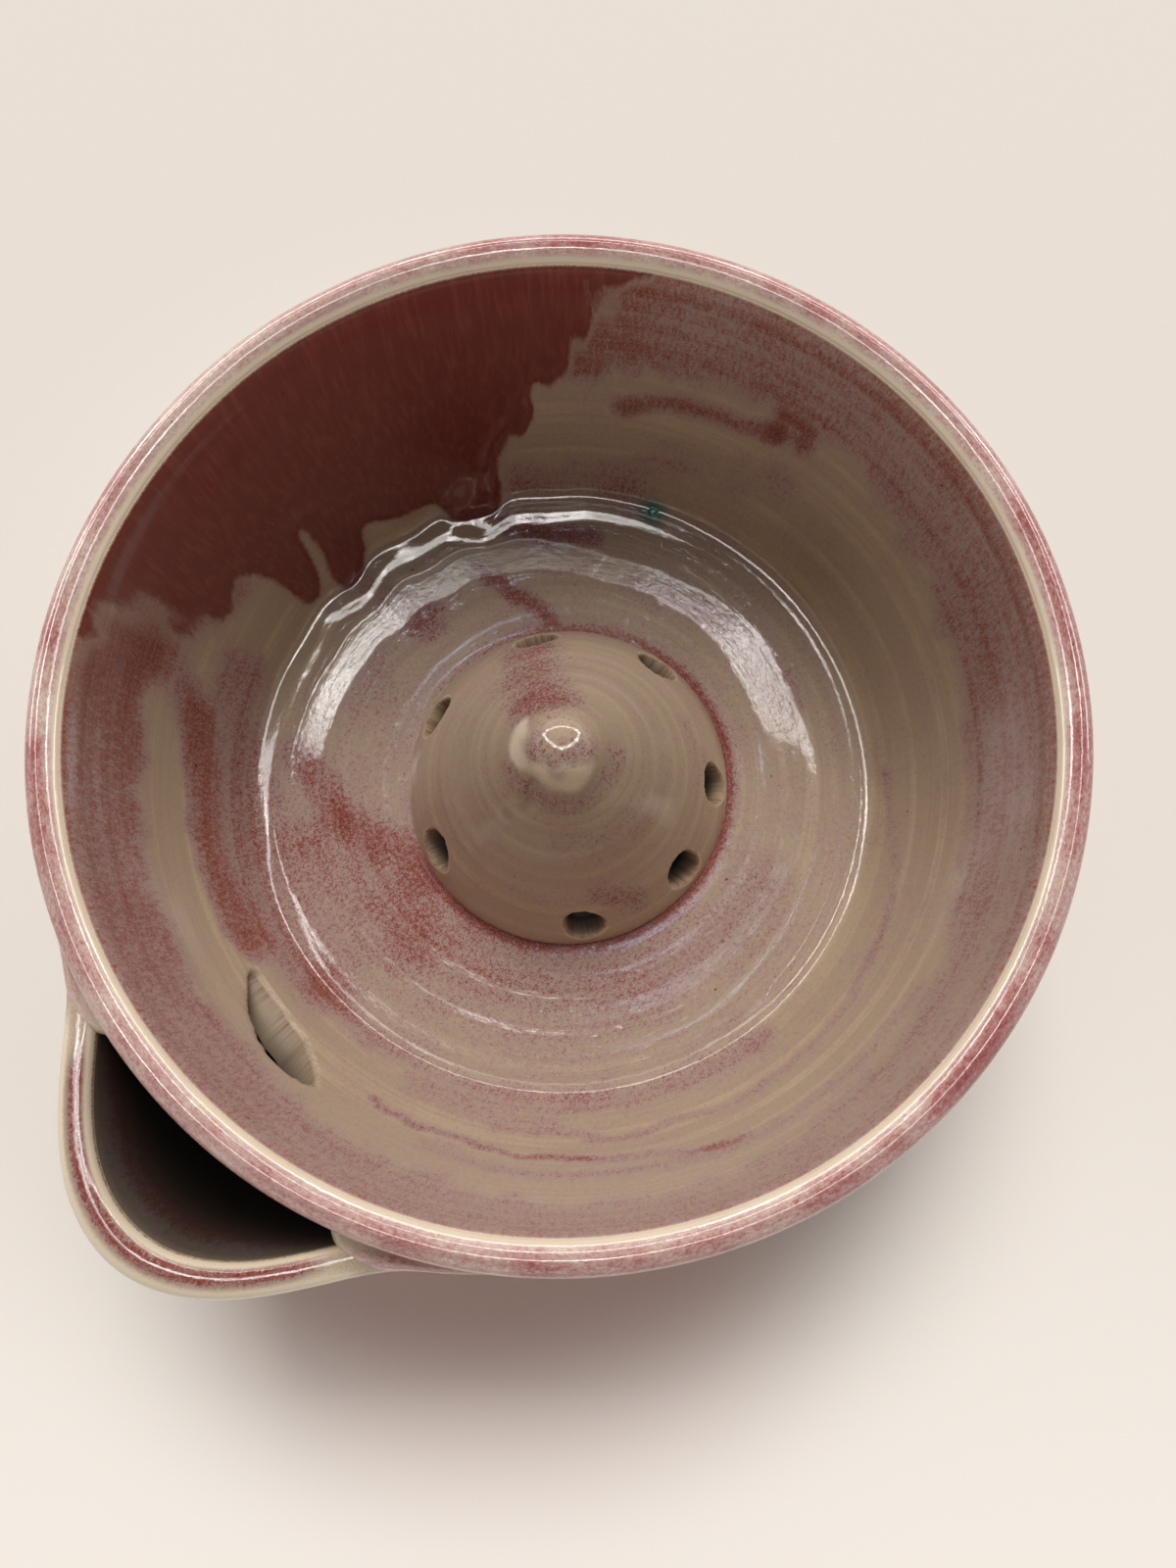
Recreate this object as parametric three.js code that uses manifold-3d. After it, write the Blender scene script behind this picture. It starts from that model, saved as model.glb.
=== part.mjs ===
// Berry bowl: a double-walled stoneware bowl. Berries are rinsed in the inner bowl, the water drains
// through holes round a hollow cone into the space between the walls, and pours out of a pulled spout.
// Millimetres, +Z up, origin at the centre of the flat foot, spout towards +X.

import * as THREE from 'three';
import { mergeVertices } from 'three/addons/utils/BufferGeometryUtils.js';
import Module from 'manifold-3d';

const { degToRad, lerp, clamp } = THREE.MathUtils;

// Heights, stacked from the table up.
const footHeight = 4;
const outerFloor = 5;
const cavityHeight = 10;
const innerFloor = 5.5;
const bowlDepth = 66;

// Foot, walls and rim.
const footRadius = 50;
const footFlare = 9;
const footChamfer = 1.5;
const rimRadius = 90;
const rimWidth = 6.6;
const rimHeight = 9;
const rimCrown = 3.3;
const rimSeam = 0.4;
const innerWall = 5;
const outerWall = 5;
const wallTaperShare = 1 / 3;
const wallLean = 16.7;
const wallPlumb = 19.5;
const turnHeight = 7;
const turnOut = 3.8;
const turnIn = 7.7;
const turnLean = 7.7;
const turnPlumb = 14.7;
const floorFall = 0.8;
const bellySwell = 6.5;
const bellyDrop = 20;
const bellyFullness = 23;
const bellyLift = 9.5;

// Cone and its drain holes. Angles run anticlockwise from the spout, seen from above.
const coneRadius = 35.4;
const coneHeight = 45;
const coneWall = 5;
const coneTipRadius = 8.4;
const coneTipSlope = degToRad(57);
const coneFootSlope = degToRad(62);
const coneEase = 1 / 3;
const drainDiameter = 8.5;
const drainSill = 2;
const drainAngles = [-22, -77, -128, -179, 127, 91, 46].map(degToRad);

// Spout and the shoulders that blend it into the rim.
const spoutReach = 20.5;
const spoutHalfAngle = degToRad(26);
const spoutDepth = 46;
const spoutWall = 5;
const spoutCurl = 2;
const shoulderReach = 8;
const shoulderHalfAngle = degToRad(46);
const shoulderDrop = 4.4;
const shoulderFeather = 0.6;
const mouthHalfAngle = degToRad(16.5);
const mouthCornerAngle = degToRad(2);
const lipWidth = 6.8;
const lipSwell = 0.6;
const lipDrop = 6.5;

// Slot in the inner wall, and the drop of glass on the floor's turn.
const slotLength = 28;
const slotHeight = 9.5;
const slotRise = 22.5;
const slotAngle = degToRad(-7.5);
const slotTilt = degToRad(20);
const beadRadius = 1.3;
const beadFlatness = 0.6;
const beadAngle = degToRad(-158);
const beadPlace = 0.5;

// Pieces that meet are kept this far apart.
const jointGap = 0.3;

// How far a cutter reaches through a wall, in wall thicknesses.
const cutterReach = 4;

// How finely round shapes are cut.
const turnedSides = 48;
const coneSides = 36;
const holeSides = 14;
const slotSteps = 8;
const wallSteps = 7;
const cornerSteps = 4;
const spoutSteps = 14;
const shoulderSteps = 6;
const beadSides = 12;
const halvings = 50;
const weldDistance = 1e-4;

// Levels and radii that follow from the sizes above.
const outerFloorBottom = footHeight + jointGap;
const outerFloorTop = outerFloorBottom + outerFloor;
const innerFloorBottom = outerFloorTop + cavityHeight;
const valleyZ = innerFloorBottom + innerFloor;
const rimTop = valleyZ + bowlDepth;
const rimBottom = rimTop - rimHeight;
const wallTop = rimBottom - jointGap;
const rimInner = rimRadius - rimWidth;
const innerTopWall = (rimWidth - rimSeam - jointGap) / 2;
const turnRadius = rimInner - wallLean;
const turnZ = valleyZ + floorFall;

const wasm = await Module();
wasm.setup();

/** A solid from a closed geometry, whichever way its faces point. */
function toSolid(geometry) {
  const bare = geometry.clone();
  bare.deleteAttribute('normal');
  bare.deleteAttribute('uv');
  const merged = mergeVertices(bare, weldDistance);
  const vertProperties = new Float32Array(merged.attributes.position.array);
  const triVerts = new Uint32Array(realTriangles(merged.index.array));
  const solid = new wasm.Manifold(new wasm.Mesh({ numProp: 3, vertProperties, triVerts }));
  if (solid.volume() > 0) return solid;
  return new wasm.Manifold(new wasm.Mesh({ numProp: 3, vertProperties, triVerts: triVerts.reverse() }));
}

/** The triangles whose three corners are different points. */
function realTriangles(index) {
  const kept = [];
  for (let i = 0; i < index.length; i += 3) {
    const [a, b, c] = index.slice(i, i + 3);
    if (a !== b && b !== c && c !== a) kept.push(a, b, c);
  }
  return kept;
}

/** A named mesh of a solid. */
function piece(name, solid, finish) {
  const { vertProperties, triVerts } = solid.getMesh();
  const geometry = new THREE.BufferGeometry();
  geometry.setAttribute('position', new THREE.BufferAttribute(vertProperties, 3));
  geometry.setIndex(new THREE.BufferAttribute(triVerts, 1));
  geometry.computeVertexNormals();
  const mesh = new THREE.Mesh(geometry, new THREE.MeshStandardMaterial(finish));
  mesh.name = name;
  return mesh;
}

/** A solid of revolution about Z from a profile of radius and height. */
function turned(profile, sides) {
  const endsOnAxis = profile[0].x === 0 && profile.at(-1).x === 0;
  const points = endsOnAxis ? profile : [...profile, profile[0]];
  return toSolid(new THREE.LatheGeometry(points, sides).rotateX(Math.PI / 2));
}

/** A solid swept about Z through upright sections, one at each angle, closed at both ends. */
function swept(angles, sectionAt) {
  const sections = angles.map(sectionAt);
  const count = sections[0].length;
  const positions = sections.flatMap((section, i) =>
    section.flatMap((p) => around(angles[i], p.x, p.y).toArray()),
  );
  const index = [];
  for (let i = 0; i < angles.length - 1; i += 1) {
    for (let j = 0; j < count; j += 1) {
      const a = i * count + j;
      const b = i * count + ((j + 1) % count);
      index.push(a, b, b + count, a, b + count, a + count);
    }
  }
  const last = (angles.length - 1) * count;
  for (const [a, b, c] of endFaces(sections[0])) index.push(a, c, b);
  for (const [a, b, c] of endFaces(sections.at(-1))) index.push(last + a, last + b, last + c);
  const geometry = new THREE.BufferGeometry();
  geometry.setAttribute('position', new THREE.Float32BufferAttribute(positions, 3));
  geometry.setIndex(index);
  return toSolid(geometry);
}

/** Triangles that fill a section, wound the way the section runs. */
function endFaces(section) {
  const anticlockwise = THREE.ShapeUtils.area(section) > 0;
  const faces = THREE.ShapeUtils.triangulateShape(section, []);
  return anticlockwise ? faces : faces.map(([a, b, c]) => [a, c, b]);
}

const at = (radius, height) => new THREE.Vector2(radius, height);

/** The point at an angle from the spout, a radius and a height. */
function around(angle, radius, height) {
  return new THREE.Vector3(radius * Math.cos(angle), radius * Math.sin(angle), height);
}

/** Even steps from one number to another, ends included. */
function steps(from, to, count) {
  return Array.from({ length: count + 1 }, (_, i) => lerp(from, to, i / count));
}

/** An elliptic arc of a profile about a centre, from one angle to another. */
function arc(centre, radius, height, from, to, count) {
  return steps(from, to, count).map((a) =>
    at(centre.x + radius * Math.cos(a), centre.y + height * Math.sin(a)),
  );
}

/** A profile moved to the left of its run by the distance given at each share of its points. */
function offset(profile, distanceAt) {
  const lastPoint = profile.length - 1;
  return profile.map((p, i) => {
    const before = profile[Math.max(i - 1, 0)];
    const after = profile[Math.min(i + 1, lastPoint)];
    const along = after.clone().sub(before).normalize();
    return p.clone().add(at(-along.y, along.x).multiplyScalar(distanceAt(i / lastPoint)));
  });
}

/** The place from low to high where a falling measure reaches zero. */
function findZero(measure, low, high) {
  let [a, b] = [low, high];
  for (let i = 0; i < halvings; i += 1) {
    const middle = (a + b) / 2;
    if (measure(middle) > 0) a = middle;
    else b = middle;
  }
  return (a + b) / 2;
}

/** The radius of a curve that runs downwards, at a height. */
function radiusAt(curve, height) {
  return curve.getPoint(findZero((t) => curve.getPoint(t).y - height, 0, 1)).x;
}

const redGlaze = { color: 0x7d4340, roughness: 0.22, metalness: 0 };
const greyGlaze = { color: 0xb09a84, roughness: 0.22, metalness: 0 };
const creamGlaze = { color: 0xc9ad9d, roughness: 0.2, metalness: 0 };
const bareClay = { color: 0xb79c7c, roughness: 0.85, metalness: 0 };
const greenGlass = { color: 0x1f6a66, roughness: 0.1, metalness: 0 };

// Foot: a flat disc of bare clay with a turned edge.
const foot = turned(
  [
    at(0, 0),
    at(footRadius - footChamfer, 0),
    at(footRadius, footChamfer),
    at(footRadius, footHeight),
    at(0, footHeight),
  ],
  turnedSides,
);

// Inner bowl: wall, round turn and floor. The floor ends at the opening that the cone plugs.
const wallFoot = at(turnRadius + turnOut, turnZ + turnHeight);
const innerWallCurve = new THREE.CubicBezierCurve(
  at(rimInner, wallTop),
  at(rimInner, wallTop - wallPlumb),
  at(wallFoot.x + turnLean, wallFoot.y + turnPlumb),
  wallFoot,
);
const innerTurnCurve = new THREE.QuadraticBezierCurve(
  wallFoot,
  at(turnRadius, turnZ),
  at(turnRadius - turnIn, turnZ),
);
const innerFace = [
  ...innerWallCurve.getPoints(wallSteps),
  ...innerTurnCurve.getPoints(cornerSteps).slice(1),
  at(coneRadius + jointGap, valleyZ),
];
const innerBack = offset(innerFace, (share) =>
  lerp(innerTopWall, innerWall, clamp(share / wallTaperShare, 0, 1)),
);
innerBack[0] = at(rimInner + innerTopWall, wallTop);
innerBack[innerBack.length - 1] = at(coneRadius + jointGap, innerFloorBottom);
const plainInnerBowl = turned([...innerFace, ...innerBack.reverse()], turnedSides);

const almond = new THREE.Shape();
almond.moveTo(-slotLength / 2, 0);
almond.quadraticCurveTo(0, -slotHeight, slotLength / 2, 0);
almond.quadraticCurveTo(0, slotHeight, -slotLength / 2, 0);
const slotZ = valleyZ + slotRise;
const slotDepth = cutterReach * innerWall;
const slotStart = radiusAt(innerWallCurve, slotZ) - slotDepth / 2;
const slotCutter = new THREE.ExtrudeGeometry(almond, {
  depth: slotDepth,
  bevelEnabled: false,
  curveSegments: slotSteps,
});
slotCutter.rotateZ(slotTilt);
slotCutter.applyMatrix4(
  new THREE.Matrix4()
    .makeBasis(around(slotAngle + Math.PI / 2, 1, 0), new THREE.Vector3(0, 0, 1), around(slotAngle, 1, 0))
    .setPosition(around(slotAngle, slotStart, slotZ)),
);
const innerBowl = plainInnerBowl.subtract(toSolid(slotCutter));

// Cone: a hollow cap whose skirt plugs the floor, open below, with drain holes round its foot.
const coneTipCentre = valleyZ + coneHeight - coneTipRadius;
const coneFoot = at(coneRadius, valleyZ);
const coneShoulder = at(
  coneTipRadius * Math.sin(coneTipSlope),
  coneTipCentre + coneTipRadius * Math.cos(coneTipSlope),
);
const flankReach = coneFoot.distanceTo(coneShoulder) * coneEase;
const coneFlank = new THREE.CubicBezierCurve(
  coneShoulder,
  coneShoulder.clone().add(at(Math.cos(coneTipSlope), -Math.sin(coneTipSlope)).multiplyScalar(flankReach)),
  coneFoot.clone().add(at(-Math.cos(coneFootSlope), Math.sin(coneFootSlope)).multiplyScalar(flankReach)),
  coneFoot,
);
const tipArc = arc(
  at(0, coneTipCentre),
  coneTipRadius,
  coneTipRadius,
  Math.PI / 2,
  Math.PI / 2 - coneTipSlope,
  cornerSteps,
);
tipArc[0].x = 0;
const coneOutside = [...tipArc, ...coneFlank.getPoints(wallSteps).slice(1)];
const coneInside = offset(coneOutside, () => -coneWall);
coneInside[0] = at(0, coneOutside[0].y - coneWall);
const plainCone = turned(
  [
    ...coneOutside,
    at(coneRadius, innerFloorBottom),
    at(coneInside.at(-1).x, innerFloorBottom),
    ...coneInside.reverse(),
  ],
  coneSides,
);

const drainZ = valleyZ + drainSill + (drainDiameter / 2) * Math.sin(coneFootSlope);
const drainRadius = radiusAt(coneFlank, drainZ);
const drainLength = cutterReach * coneWall;
const centerCone = drainAngles.reduce((cone, angle) => {
  const outwards = around(angle, Math.sin(coneFootSlope), Math.cos(coneFootSlope));
  const cutter = new THREE.CylinderGeometry(drainDiameter / 2, drainDiameter / 2, drainLength, holeSides);
  cutter.applyQuaternion(new THREE.Quaternion().setFromUnitVectors(new THREE.Vector3(0, 1, 0), outwards));
  const centre = around(angle, drainRadius, drainZ);
  cutter.translate(centre.x, centre.y, centre.z);
  return cone.subtract(toSolid(cutter));
}, plainCone);

// Outer bowl: floor and full-bellied wall, with a window where the spout is pulled out.
const outerWallCurve = new THREE.CubicBezierCurve(
  at(rimRadius - rimSeam, wallTop),
  at(rimRadius + bellySwell, wallTop - bellyDrop),
  at(turnRadius + innerWall + outerWall + bellyFullness, outerFloorBottom + bellyLift),
  at(footRadius + footFlare, outerFloorBottom),
);
const outerTopWall = rimWidth - rimSeam - innerTopWall - jointGap;
const outerFace = outerWallCurve.getPoints(2 * wallSteps);
const outerBack = offset(outerFace, (share) =>
  -lerp(outerTopWall, outerWall, clamp(share / wallTaperShare, 0, 1)),
);
outerBack[0] = at(rimRadius - rimSeam - outerTopWall, wallTop);
outerBack[outerBack.length - 1].y = outerFloorTop;
const plainOuterBowl = turned(
  [at(0, outerFloorTop), ...outerBack.reverse(), ...outerFace, at(0, outerFloorBottom)],
  turnedSides,
);

const spoutRoot = wallTop - spoutDepth;
const windowHalfAngle = shoulderHalfAngle + jointGap / rimRadius;
const windowOuter = rimRadius + bellySwell + cutterReach * outerWall;
const windowSection = [
  at(turnRadius, spoutRoot - jointGap),
  at(windowOuter, spoutRoot - jointGap),
  at(windowOuter, rimTop),
  at(turnRadius, rimTop),
];
const windowCutter = swept(steps(-windowHalfAngle, windowHalfAngle, spoutSteps), () => windowSection);
const outerBowl = plainOuterBowl.subtract(windowCutter);

// Spout: the stretch of outer wall that fills the window, pulled out to a rounded lip below the rim.
const lipTop = rimTop - lipDrop;

/** A smooth hump of height 1 that is gone at its half angle. */
function hump(angle, halfAngle) {
  if (Math.abs(angle) >= halfAngle) return 0;
  return Math.cos(((Math.PI / 2) * angle) / halfAngle) ** 2;
}

/** How far the wall is pulled out at the lip's level. */
function pullAt(angle) {
  return spoutReach * hump(angle, spoutHalfAngle) + shoulderReach * hump(angle, shoulderHalfAngle);
}

/** The radius of the pulled wall's outside. */
function spoutFace(angle, height) {
  const share = (height - spoutRoot) / (lipTop - spoutRoot);
  return radiusAt(outerWallCurve, Math.min(height, wallTop)) + pullAt(angle) * share ** spoutCurl;
}

/** 1 within the open mouth, 0 where the wall runs on under the rim. */
function mouthShare(angle) {
  return 1 - clamp((Math.abs(angle) - mouthHalfAngle) / mouthCornerAngle, 0, 1);
}

function spoutSection(angle) {
  const topWall = Math.min(outerTopWall + lipSwell * pullAt(angle), lipWidth);
  const crown = lerp(jointGap, topWall / 2, mouthShare(angle));
  const crownZ = lerp(wallTop, lipTop, mouthShare(angle)) - crown;
  const thicknessAt = (height) => {
    const share = clamp((height - spoutRoot) / spoutDepth, 0, 1);
    return lerp(spoutWall, topWall, share ** spoutCurl);
  };
  const heights = steps(spoutRoot, crownZ, wallSteps);
  const lipCentre = at(spoutFace(angle, crownZ) - topWall / 2, crownZ);
  return [
    ...heights.slice(0, -1).map((z) => at(spoutFace(angle, z), z)),
    ...arc(lipCentre, topWall / 2, crown, 0, Math.PI, cornerSteps),
    ...heights
      .slice(0, -1)
      .reverse()
      .map((z) => at(spoutFace(angle, z) - thicknessAt(z), z)),
  ];
}
const mouthEnd = mouthHalfAngle + mouthCornerAngle;
const spout = swept(
  [
    ...steps(-shoulderHalfAngle, -mouthEnd, shoulderSteps),
    ...steps(-mouthHalfAngle, mouthHalfAngle, spoutSteps),
    ...steps(mouthEnd, shoulderHalfAngle, shoulderSteps),
  ],
  spoutSection,
);

// Shoulders: wedges of clay in the corner between the rim and the wall on each side of the mouth.
const wedgeInner = rimRadius + jointGap;
const wedgeWidthAt = (angle) => spoutFace(angle, wallTop) - wedgeInner;
const wedgeStart = mouthEnd + jointGap / rimRadius;
const wedgeEnd = findZero((angle) => wedgeWidthAt(angle) - shoulderFeather, wedgeStart, shoulderHalfAngle);

function shoulder(side) {
  return swept(
    steps(side * wedgeStart, side * wedgeEnd, shoulderSteps),
    (angle) => {
      const width = wedgeWidthAt(angle);
      const height = (rimTop - shoulderDrop - rimBottom) * Math.sqrt(width / wedgeWidthAt(wedgeStart));
      const corner = at(wedgeInner, rimBottom);
      return [corner, ...arc(corner, width, height, 0, Math.PI / 2, cornerSteps)];
    },
  );
}

// Rim: a rounded roll of clay that closes the top of both walls.
const rimCentre = at(rimRadius - rimWidth / 2, rimTop - rimCrown);
const rim = turned(
  [
    at(rimInner, rimBottom),
    at(rimRadius - rimSeam, rimBottom),
    at(rimRadius, rimBottom + rimSeam),
    ...arc(rimCentre, rimWidth / 2, rimCrown, 0, Math.PI, 2 * cornerSteps),
  ],
  turnedSides,
);

// Glaze bead: a flattened drop of green glass on the turn between the inner wall and floor.
const beadSeat = innerTurnCurve.getPoint(beadPlace);
const seatRun = innerTurnCurve.getTangent(beadPlace);
const seatNormal = around(beadAngle, seatRun.y, -seatRun.x);
const bead = new THREE.SphereGeometry(beadRadius, beadSides, beadSides / 2);
bead.scale(1, beadFlatness, 1);
bead.applyQuaternion(new THREE.Quaternion().setFromUnitVectors(new THREE.Vector3(0, 1, 0), seatNormal));
const beadCentre = around(beadAngle, beadSeat.x, beadSeat.y).addScaledVector(
  seatNormal,
  beadRadius * beadFlatness + jointGap,
);
bead.translate(beadCentre.x, beadCentre.y, beadCentre.z);

const berryBowl = new THREE.Group();
berryBowl.add(
  piece('foot', foot, bareClay),
  piece('outer_bowl', outerBowl, redGlaze),
  piece('spout', spout, redGlaze),
  piece('spout_shoulder_left', shoulder(1), creamGlaze),
  piece('spout_shoulder_right', shoulder(-1), creamGlaze),
  piece('inner_bowl', innerBowl, greyGlaze),
  piece('center_cone', centerCone, greyGlaze),
  piece('rim', rim, creamGlaze),
  piece('glaze_bead', toSolid(bead), greenGlass),
);

export default berryBowl;
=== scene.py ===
# Berry bowl: a double-walled stoneware bowl under a copper-red glaze. Lengths are millimetres until a piece
# is fired into a mesh in metres. Angles run anticlockwise from the spout, which points along +X.
import math

import bmesh
import bpy
import numpy as np
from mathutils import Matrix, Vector


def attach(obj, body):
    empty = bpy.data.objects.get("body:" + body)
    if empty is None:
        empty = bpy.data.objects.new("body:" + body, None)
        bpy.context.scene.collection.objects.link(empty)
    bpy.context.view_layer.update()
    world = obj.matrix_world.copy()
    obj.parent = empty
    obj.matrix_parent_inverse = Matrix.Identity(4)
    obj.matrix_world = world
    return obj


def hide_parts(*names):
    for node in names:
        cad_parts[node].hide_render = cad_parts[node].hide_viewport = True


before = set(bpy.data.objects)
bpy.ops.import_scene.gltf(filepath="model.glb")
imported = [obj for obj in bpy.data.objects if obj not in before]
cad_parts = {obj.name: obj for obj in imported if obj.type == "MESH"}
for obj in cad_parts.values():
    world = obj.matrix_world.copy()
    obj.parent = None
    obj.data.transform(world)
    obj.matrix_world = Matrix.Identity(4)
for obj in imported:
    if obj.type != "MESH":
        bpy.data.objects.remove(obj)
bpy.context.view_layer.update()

# Foot: the bare stoneware disc that the bowl stands on. It is cut off the wheel with a twisted wire, which
# leaves arcs underneath, and its edge is turned when the clay is stiff. The glaze stops above it.
foot_radius = 50.0
foot_top = 4.8
foot_columns = 180
wire_centre = (-95.0, 20.0)
wire_depth = 0.10
wire_turns = 1.9
metres_per_mm = 0.001
clay_buff = (0.42, 0.29, 0.185, 1)
clay_toast = (0.27, 0.165, 0.095, 1)
clay_iron = (0.07, 0.035, 0.02, 1)


def bumps(points, size, seed):
    """Smooth noise from -1 to 1, in bumps about this many millimetres across."""
    place = np.asarray(points, dtype=float) / size
    cell = np.floor(place)
    ease = (place - cell) ** 2 * (3 - 2 * (place - cell))
    total = np.zeros(place.shape[:-1])
    for corner in np.ndindex(2, 2, 2):
        key = (cell + corner).astype(np.int64) & 0xFFFFF
        mixed = (key[..., 0] * 73856093) ^ (key[..., 1] * 19349663) ^ (key[..., 2] * 83492791)
        mixed = (mixed ^ (seed * 40503)) & 0xFFFFFFFF
        mixed = ((mixed ^ (mixed >> 13)) * 1274126177) & 0xFFFFFFFF
        mixed ^= mixed >> 16
        share = np.where(np.array(corner) == 1, ease, 1 - ease).prod(axis=-1)
        total += share * (mixed / 0x7FFFFFFF - 1)
    return total


def smooth_step(low, high, value):
    """0 below low, 1 above high, and a smooth rise between."""
    share = np.clip((value - low) / (high - low), 0, 1)
    return share * share * (3 - 2 * share)


def bent(corners, count):
    """Points along the curve that these corners pull."""
    points = np.repeat(np.array(corners, dtype=float)[None], count, axis=0)
    share = np.linspace(0, 1, count)[:, None, None]
    while points.shape[1] > 1:
        points = points[:, :-1] * (1 - share) + points[:, 1:] * share
    return points[:, 0]


def thrown(radius, height, angles):
    """Points of rows of radius and height at each angle round the wheel."""
    radius = np.broadcast_to(radius, np.broadcast_shapes(radius.shape, (1, np.shape(angles)[-1])))
    height = np.broadcast_to(height, radius.shape)
    return np.stack([radius * np.cos(angles), radius * np.sin(angles), height], axis=-1)


def spun(profile, angles):
    """Points of a profile at each angle round the wheel."""
    return thrown(profile[:, :1], profile[:, 1:], angles)


def skin(rows, columns, around=True):
    """The faces of a grid of points, as point numbers."""
    across = columns if around else columns - 1
    i, j = np.meshgrid(np.arange(rows - 1), np.arange(across), indexing="ij")
    beside = (j + 1) % columns
    corners = [i * columns + j, (i + 1) * columns + j, (i + 1) * columns + beside, i * columns + beside]
    return np.stack(corners, axis=-1).reshape(-1, 4).tolist()


def ring_of(row, columns):
    """The point numbers of one whole row of a grid."""
    return list(range(row * columns, (row + 1) * columns))


def fire(name, points, faces, marks, finish, crease=60):
    """A piece of the bowl from its points, its faces, what is marked on each point, and its finish."""
    mesh = bpy.data.meshes.new(name)
    mesh.from_pydata((points.reshape(-1, 3) * metres_per_mm).tolist(), [], faces)
    for mark, values in marks.items():
        kind, field = ("FLOAT_VECTOR", "vector") if np.ndim(values) == 2 else ("FLOAT", "value")
        attribute = mesh.attributes.new(mark, kind, "POINT")
        attribute.data.foreach_set(field, np.ravel(values).astype(np.float32))
    work = bmesh.new()
    work.from_mesh(mesh)
    loose = [v for v in work.verts if not v.link_faces]
    bmesh.ops.delete(work, geom=loose, context="VERTS")
    bmesh.ops.recalc_face_normals(work, faces=work.faces)
    work.to_mesh(mesh)
    work.free()
    mesh.shade_smooth()
    mesh.set_sharp_from_angle(angle=math.radians(crease))
    mesh.materials.append(finish)
    made = bpy.data.objects.new(name, mesh)
    bpy.context.collection.objects.link(made)
    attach(made, "root")
    return made


def add(tree, kind, inputs, **settings):
    """A shader node with its settings made and its inputs set or wired. Returns its first output."""
    node = tree.nodes.new("ShaderNode" + kind)
    for key, value in settings.items():
        setattr(node, key, value)
    for key, value in inputs.items():
        if isinstance(value, bpy.types.NodeSocket):
            tree.links.new(value, node.inputs[key])
        else:
            node.inputs[key].default_value = value
    return node.outputs[0]


def blend(tree, share, a, b):
    """One colour over another."""
    made = add(tree, "Mix", {0: share, 6: a, 7: b}, data_type="RGBA")
    return made.node.outputs[2]


def rise(tree, value, low, high, bottom=0.0, top=1.0):
    """A smooth rise from bottom to top while a value goes from low to high."""
    inputs = {"Value": value, "From Min": low, "From Max": high, "To Min": bottom, "To Max": top}
    return add(tree, "MapRange", inputs, interpolation_type="SMOOTHSTEP")


def mottle(tree, place, stretch, scale, detail=2.0, roughness=0.5):
    """Noise over a place that is stretched first."""
    stretched = add(tree, "VectorMath", {0: place, 1: stretch}, operation="MULTIPLY")
    inputs = {"Vector": stretched, "Scale": scale, "Detail": detail, "Roughness": roughness}
    return add(tree, "TexNoise", inputs)


def marked(tree, mark):
    """What is marked on the points of a piece."""
    node = add(tree, "Attribute", {}, attribute_name=mark).node
    return node.outputs["Vector"] if mark == "flow" else node.outputs["Fac"]


def new_finish(name):
    """An empty material, its node tree and its surface shader."""
    finish = bpy.data.materials.new(name)
    finish.use_nodes = True
    return finish, finish.node_tree, finish.node_tree.nodes["Principled BSDF"]


bare_clay, tree, surface = new_finish("bare_stoneware")
flow = marked(tree, "flow")
toasted = rise(tree, mottle(tree, flow, (1, 1, 1), 0.09, 4), 0.35, 0.7)
clay_colour = blend(tree, toasted, clay_buff, clay_toast)
sandy = mottle(tree, flow, (1, 1, 1), 1.6, 3, 0.6)
clay_colour = blend(tree, rise(tree, sandy, 0.52, 0.68, 0, 0.5), clay_colour, clay_toast)
iron = add(tree, "TexVoronoi", {"Vector": flow, "Scale": 0.34})
clay_colour = blend(tree, rise(tree, iron, 0.09, 0.14, 0.85, 0), clay_colour, clay_iron)
tree.links.new(clay_colour, surface.inputs["Base Color"])
tree.links.new(rise(tree, sandy, 0.3, 0.7, 0.72, 0.92), surface.inputs["Roughness"])
grit = add(tree, "Bump", {"Height": sandy, "Strength": 0.35, "Distance": 0.0003})
tree.links.new(grit, surface.inputs["Normal"])

foot_profile = np.vstack([
    [(radius, 0.0) for radius in np.linspace(0.4, foot_radius - 2.5, 60)],
    bent([(foot_radius - 1.5, 0.0), (foot_radius - 0.1, 0.0), (foot_radius, 1.6)], 8),
    bent([(foot_radius, 1.9), (49.2, 2.8), (foot_radius, 3.7), (50.2, 4.2), (foot_radius, foot_top)], 14),
    [(40.0, foot_top), (20.0, foot_top), (0.4, foot_top)],
])
foot_angles = np.linspace(0, 2 * math.pi, foot_columns, endpoint=False)
foot_points = spun(foot_profile, foot_angles)
wire_arcs = np.hypot(foot_points[..., 0] - wire_centre[0], foot_points[..., 1] - wire_centre[1])
underneath = foot_points[..., 2] < 0.01
arc_depth = wire_depth + wire_depth * np.sin(wire_arcs * wire_turns + bumps(foot_points, 14, 3))
from_axis = np.hypot(foot_points[..., 0], foot_points[..., 1])
within = smooth_step(foot_radius - 3, foot_radius - 6, from_axis)
foot_points[..., 2] += np.where(underneath, arc_depth * within, 0)
foot_rows = len(foot_profile)
foot_faces = skin(foot_rows, foot_columns)
foot_faces += [ring_of(0, foot_columns), ring_of(foot_rows - 1, foot_columns)]
foot_marks = {"flow": foot_points.reshape(-1, 3)}
foot = fire("turned_foot", foot_points, foot_faces, foot_marks, bare_clay, crease=50)
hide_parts("foot")

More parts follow.
